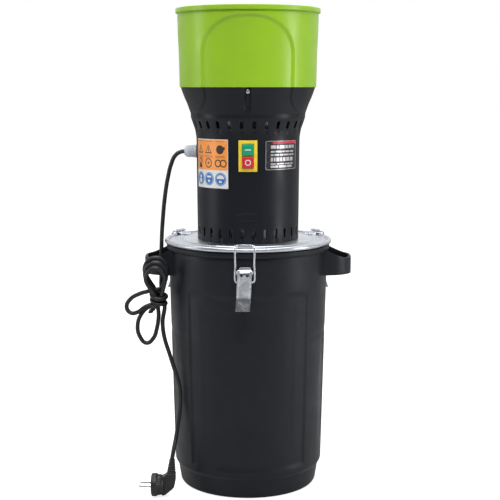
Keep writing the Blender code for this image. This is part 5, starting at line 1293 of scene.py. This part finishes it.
def lever_shape():
    face, top, low, lip = -0.0062, 0.0055, -0.0415, -0.0585
    line = rounded([(face + 0.0004, top, 0.0003), (face - 0.0003, top, 0.0016), (face - SHEET, top - 0.0024, 0.0014),
                    (face - SHEET, low, 0.0050), (face - SHEET - 0.0062, lip, 0.0006), (face - 0.0062, lip, 0.0006),
                    (face, low, 0.0050), (face, top - 0.0026, 0.0008), (face + 0.0004, top - SHEET, 0.0003)])
    shape = soften(prism(line, LEVER_W, across), 0.0003, 2, 50)
    shape = carved(shape, prism(rounded(LEVER_WINDOW), 0.0100, lambda a, b, c: (a, face - 0.0010 + c, b)))
    flange = rounded([(face - 0.0003, top - 0.0010, 0.0010), (0.0032, top - 0.0004, 0.0030), (0.0052, -0.0040, 0.0040),
                      (0.0052, -0.0200, 0.0080), (face - 0.0003, -0.0345, 0.0005)])
    for way in (-1, 1):
        slab = soften(prism(flange, SHEET, across), 0.0003, 2, 60)
        move_by(slab, (way * (LEVER_W - SHEET) / 2, 0, 0))
        mesh = bpy.data.meshes.new("flange")
        slab.to_mesh(mesh)
        slab.free()
        shape.from_mesh(mesh)
    for way in (-1, 1):
        rod(0.0007, 0.0330, (way * 0.0088, face - SHEET + 0.0002, -0.0230), segments=12, shape=shape)
    return shape


def bail_points():
    leg_y = -(0.1400 + WIRE_R + 0.0018)
    bar = Vector((0, -(0.1390 - SHEET - WIRE_R - 0.0006), KEEPER_SEAT + WIRE_R + GAP))
    corner = 0.0035
    reach = BAIL_REACH
    half = [(LEVER_W / 2 - SHEET, BAIL_FOOT.y, BAIL_FOOT.z), (reach - corner, BAIL_FOOT.y, BAIL_FOOT.z),
            (reach - 0.3 * corner, BAIL_FOOT.y, BAIL_FOOT.z + 0.3 * corner),
            (reach, BAIL_FOOT.y - 0.0002, BAIL_FOOT.z + corner), (reach + 0.0003, leg_y, BAIL_FOOT.z + 0.0120),
            (reach - 0.0003, leg_y, BAIL_FOOT.z + 0.0260), (reach, leg_y, bar.z - 0.0120),
            (reach, leg_y + 0.0006, bar.z - 0.0050), (reach, leg_y + 0.0030, bar.z - 0.0008),
            (reach, leg_y + 0.0052, bar.z + 0.0002), (reach - 0.0007, bar.y - 0.0006, bar.z),
            (reach - 0.0028, bar.y, bar.z), (0.0060, bar.y, bar.z)]
    return [Vector(point) for point in half] + [Vector((-x, y, z)) for x, y, z in reversed(half)]


LEAN = {"front": 0.055, "right": 0.0, "left": 0.0}
for side, angle in LATCHES.items():
    piece("keeper_plate_" + side, turn_by(keeper_shape(), angle), ZINC, stands_for=["keeper_" + side])
    base = move_by(base_shape(), PIVOT)
    lever = lever_shape()
    for vert in lever.verts:
        vert.co.x += LEAN[side] * min(0.0, vert.co.z + 0.0080)
    move_by(lever, PIVOT)
    piece("latch_plate_" + side, turn_by(base, angle), ZINC, stands_for=["latch_base_" + side])
    piece("latch_handle_" + side, turn_by(lever, angle), ZINC, body="lever_" + side,
          stands_for=["latch_lever_" + side])
    turn = Matrix.Rotation(angle, 3, "Z")
    bail = cord_curve("latch_wire_" + side, [turn @ point for point in bail_points()], WIRE_R)
    bail.data.materials.append(SPRING_WIRE)
    seat(bail, "bail_" + side, ["latch_bail_" + side])

# %% [markdown]
# ## Bin
# The bin is one turned wall from the middle of its floor, over the rolled rim, and down the inside.
# The front and the back have a sunk panel with a soft border and a wavy upper edge, as blown or rotation
# moulded bins have.  The carrying loops are straps swept along a smooth line and let into the wall.

# %% Bin wall
PANEL_HALF = radians(48)
PANEL_LOW, PANEL_HIGH = 0.048, BIN_HEIGHT - 0.070
PANEL_DEPTH = 0.0020
SIDE_LOW, SIDE_HIGH = 0.085, 0.255

outer_wall = rounded([(0.0001, 0.0008, 0), (0.1060, 0.0008, 0.0010), (0.1075, 0.0, 0.0010), (0.1118, 0.0, 0.0020),
                      (0.1150, 0.0040, 0.0020), (0.1197, 0.0320, 0.0020), (0.1242, 0.0385, 0.0030),
                      (0.1244, 0.0430, 0)])
outer_wall = outer_wall[:1] + split_up(outer_wall[1:], 0.0040)
outer_wall += split_up([(radius_at(BIN_PROFILE, 0.0430 + 0.0031 * k), 0.0430 + 0.0031 * k) for k in range(114)],
                       0.0040)[1:]
bin_rim = rounded([(0.1330, BIN_HEIGHT - 0.0100, 0.0010), (0.1365, BIN_HEIGHT - 0.0078, 0.0020),
                   (0.1365, BIN_HEIGHT, 0.0016), (0.1270, BIN_HEIGHT, 0.0012),
                   (0.1270, BIN_HEIGHT - 0.0030, 0.0010), (0.1300, BIN_HEIGHT - 0.0090, 0.0020)])
inner_wall = [(0.1212 + 0.0088 * (7 - k) / 7, 0.042 + (BIN_HEIGHT - 0.054) * (7 - k) / 7) for k in range(8)]
inner_wall += rounded([(0.1212, 0.0400, 0.003), (0.1167, 0.0320, 0.004), (0.1110, 0.0045, 0.006),
                       (0.0600, 0.0040, 0), (0.0001, 0.0040, 0)])
bin_wall = turned(outer_wall + bin_rim + inner_wall, 372, closed=False)


def panel_top(angle):
    """Upper edge of the sunk panel: higher in the middle of each half, as the moulding left it."""
    share = angle / PANEL_HALF
    return PANEL_HIGH + 0.0020 * cos(3 * pi * share) - 0.0015 * cos(pi * share)


def bin_sink(angle, radius, height):
    outer = radius_at(BIN_PROFILE, height)
    if radius < outer - 0.0008 or height < 0.0400 or height > BIN_HEIGHT - 0.0105:
        return 0.0
    front = abs(angle) if abs(angle) < pi / 2 else pi - abs(angle)
    side = (PANEL_HALF - front) * outer
    inside = min(side, height - PANEL_LOW, panel_top(front) - height)
    sink = PANEL_DEPTH * ease(inside, -0.0010, 0.0046)
    sink += 0.0006 * ease(min(side - 0.0220, height - PANEL_LOW - 0.0220, panel_top(front) - 0.018 - height),
                          0.0, 0.0120)
    from_side = abs(front - radians(74)) * outer
    window = min(0.0105 - from_side, height - SIDE_LOW, SIDE_HIGH - height)
    sink += 0.0009 * ease(window, -0.0012, 0.0022)
    sink += 0.0007 * exp(-((height - 0.262) / 0.005) ** 2) * ease(front, PANEL_HALF, PANEL_HALF + 0.08)
    seam = abs(front - radians(90)) * outer
    sink -= 0.0005 * (1 - ease(seam, 0.0004, 0.0020))
    return sink


push(bin_wall, bin_sink)
piece("bin_shell", bin_wall, BIN_BLACK, stands_for=["bin"], crease=50)

# %% Carrying loops
GRIP_LOW = BIN_HEIGHT - 0.0485
GRIP_TIP = 0.1330 + 0.0395
GRIP_ROOT = sqrt(0.1315 ** 2 - 0.052 ** 2)
GRIP_HALF = [(-0.060, 1.03), (0.0, 1.0), (0.26, 0.965), (0.50, 0.90), (0.68, 0.80), (0.82, 0.68), (0.92, 0.535),
             (0.985, 0.36), (1.0, 0.18), (1.0, 0.0)]


def smooth_line(points, per_step):
    """Catmull-Rom line through the points."""
    ends = [2 * points[0] - points[1]] + points + [2 * points[-1] - points[-2]]
    made = []
    for a, b, c, d in zip(ends, ends[1:], ends[2:], ends[3:]):
        for step in range(per_step):
            t = step / per_step
            made.append(0.5 * (2 * b + (c - a) * t + (2 * a - 5 * b + 4 * c - d) * t * t
                               + (3 * b - 3 * c + d - a) * t ** 3))
    return made + [points[-1]]


def grip_shape():
    half = [Vector((GRIP_ROOT + (GRIP_TIP - GRIP_ROOT) * reach, 0.052 * width)) for reach, width in GRIP_HALF]
    line = smooth_line([Vector((x, -y)) for x, y in half] + [p for p in reversed(half[:-1])], 5)
    shape = bmesh.new()
    rows = []
    for point in line:
        out = (point.x - GRIP_ROOT) / (GRIP_TIP - GRIP_ROOT)
        top = GRIP_LOW + 0.0275 + 0.0195 * max(0.0, 1 - 1.15 * max(0.0, out)) ** 1.4
        rows.append([shape.verts.new((point.x, point.y, GRIP_LOW + (top - GRIP_LOW) * k / 5)) for k in range(6)])
    for a, b in zip(rows, rows[1:]):
        for k in range(5):
            shape.faces.new((a[k], b[k], b[k + 1], a[k + 1]))
    return shape


for side, angle in (("right", 0.0), ("left", pi)):
    strap = piece("bin_grip_" + side, turn_by(grip_shape(), angle), BIN_BLACK, stands_for=["bin"],
                  skin=True)
    soft_edges(thicken(strap, 0.0036), 0.0012, 3, 50)

# %% [markdown]
# ## Pieces inside
# The motor, the grain duct, the gate and the hammer chamber keep their CAD meshes, because they only
# show through the slots and from above.  Each gets its real finish.

# %% Finishes of the inner pieces
INNER = {"feed_chute": GALVANISED, "feed_gate": ZINC, "stator_core": LAMINATION, "stator_winding": COPPER,
         "lower_shield": CAST, "upper_shield": CAST, "lower_bearing": STEEL, "upper_bearing": STEEL,
         "motor_shaft": STEEL, "rotor_core": LAMINATION, "cooling_fan": HOUSING_BLACK, "capacitor": NYLON,
         "chamber_plate": GALVANISED, "sieve_ring": ZINC, "chamber_floor": ZINC, "wing_stud_left": ZINC,
         "wing_stud_right": ZINC, "hammer_disc": STEEL, "disc_nut": ZINC, "hammer_1": STEEL, "hammer_2": STEEL,
         "hammer_3": STEEL, "hammer_4": STEEL}
for name, inner_finish in INNER.items():
    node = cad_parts[name]
    node.data.materials.clear()
    node.data.materials.append(inner_finish)
print(len(INNER), "inner pieces finished")
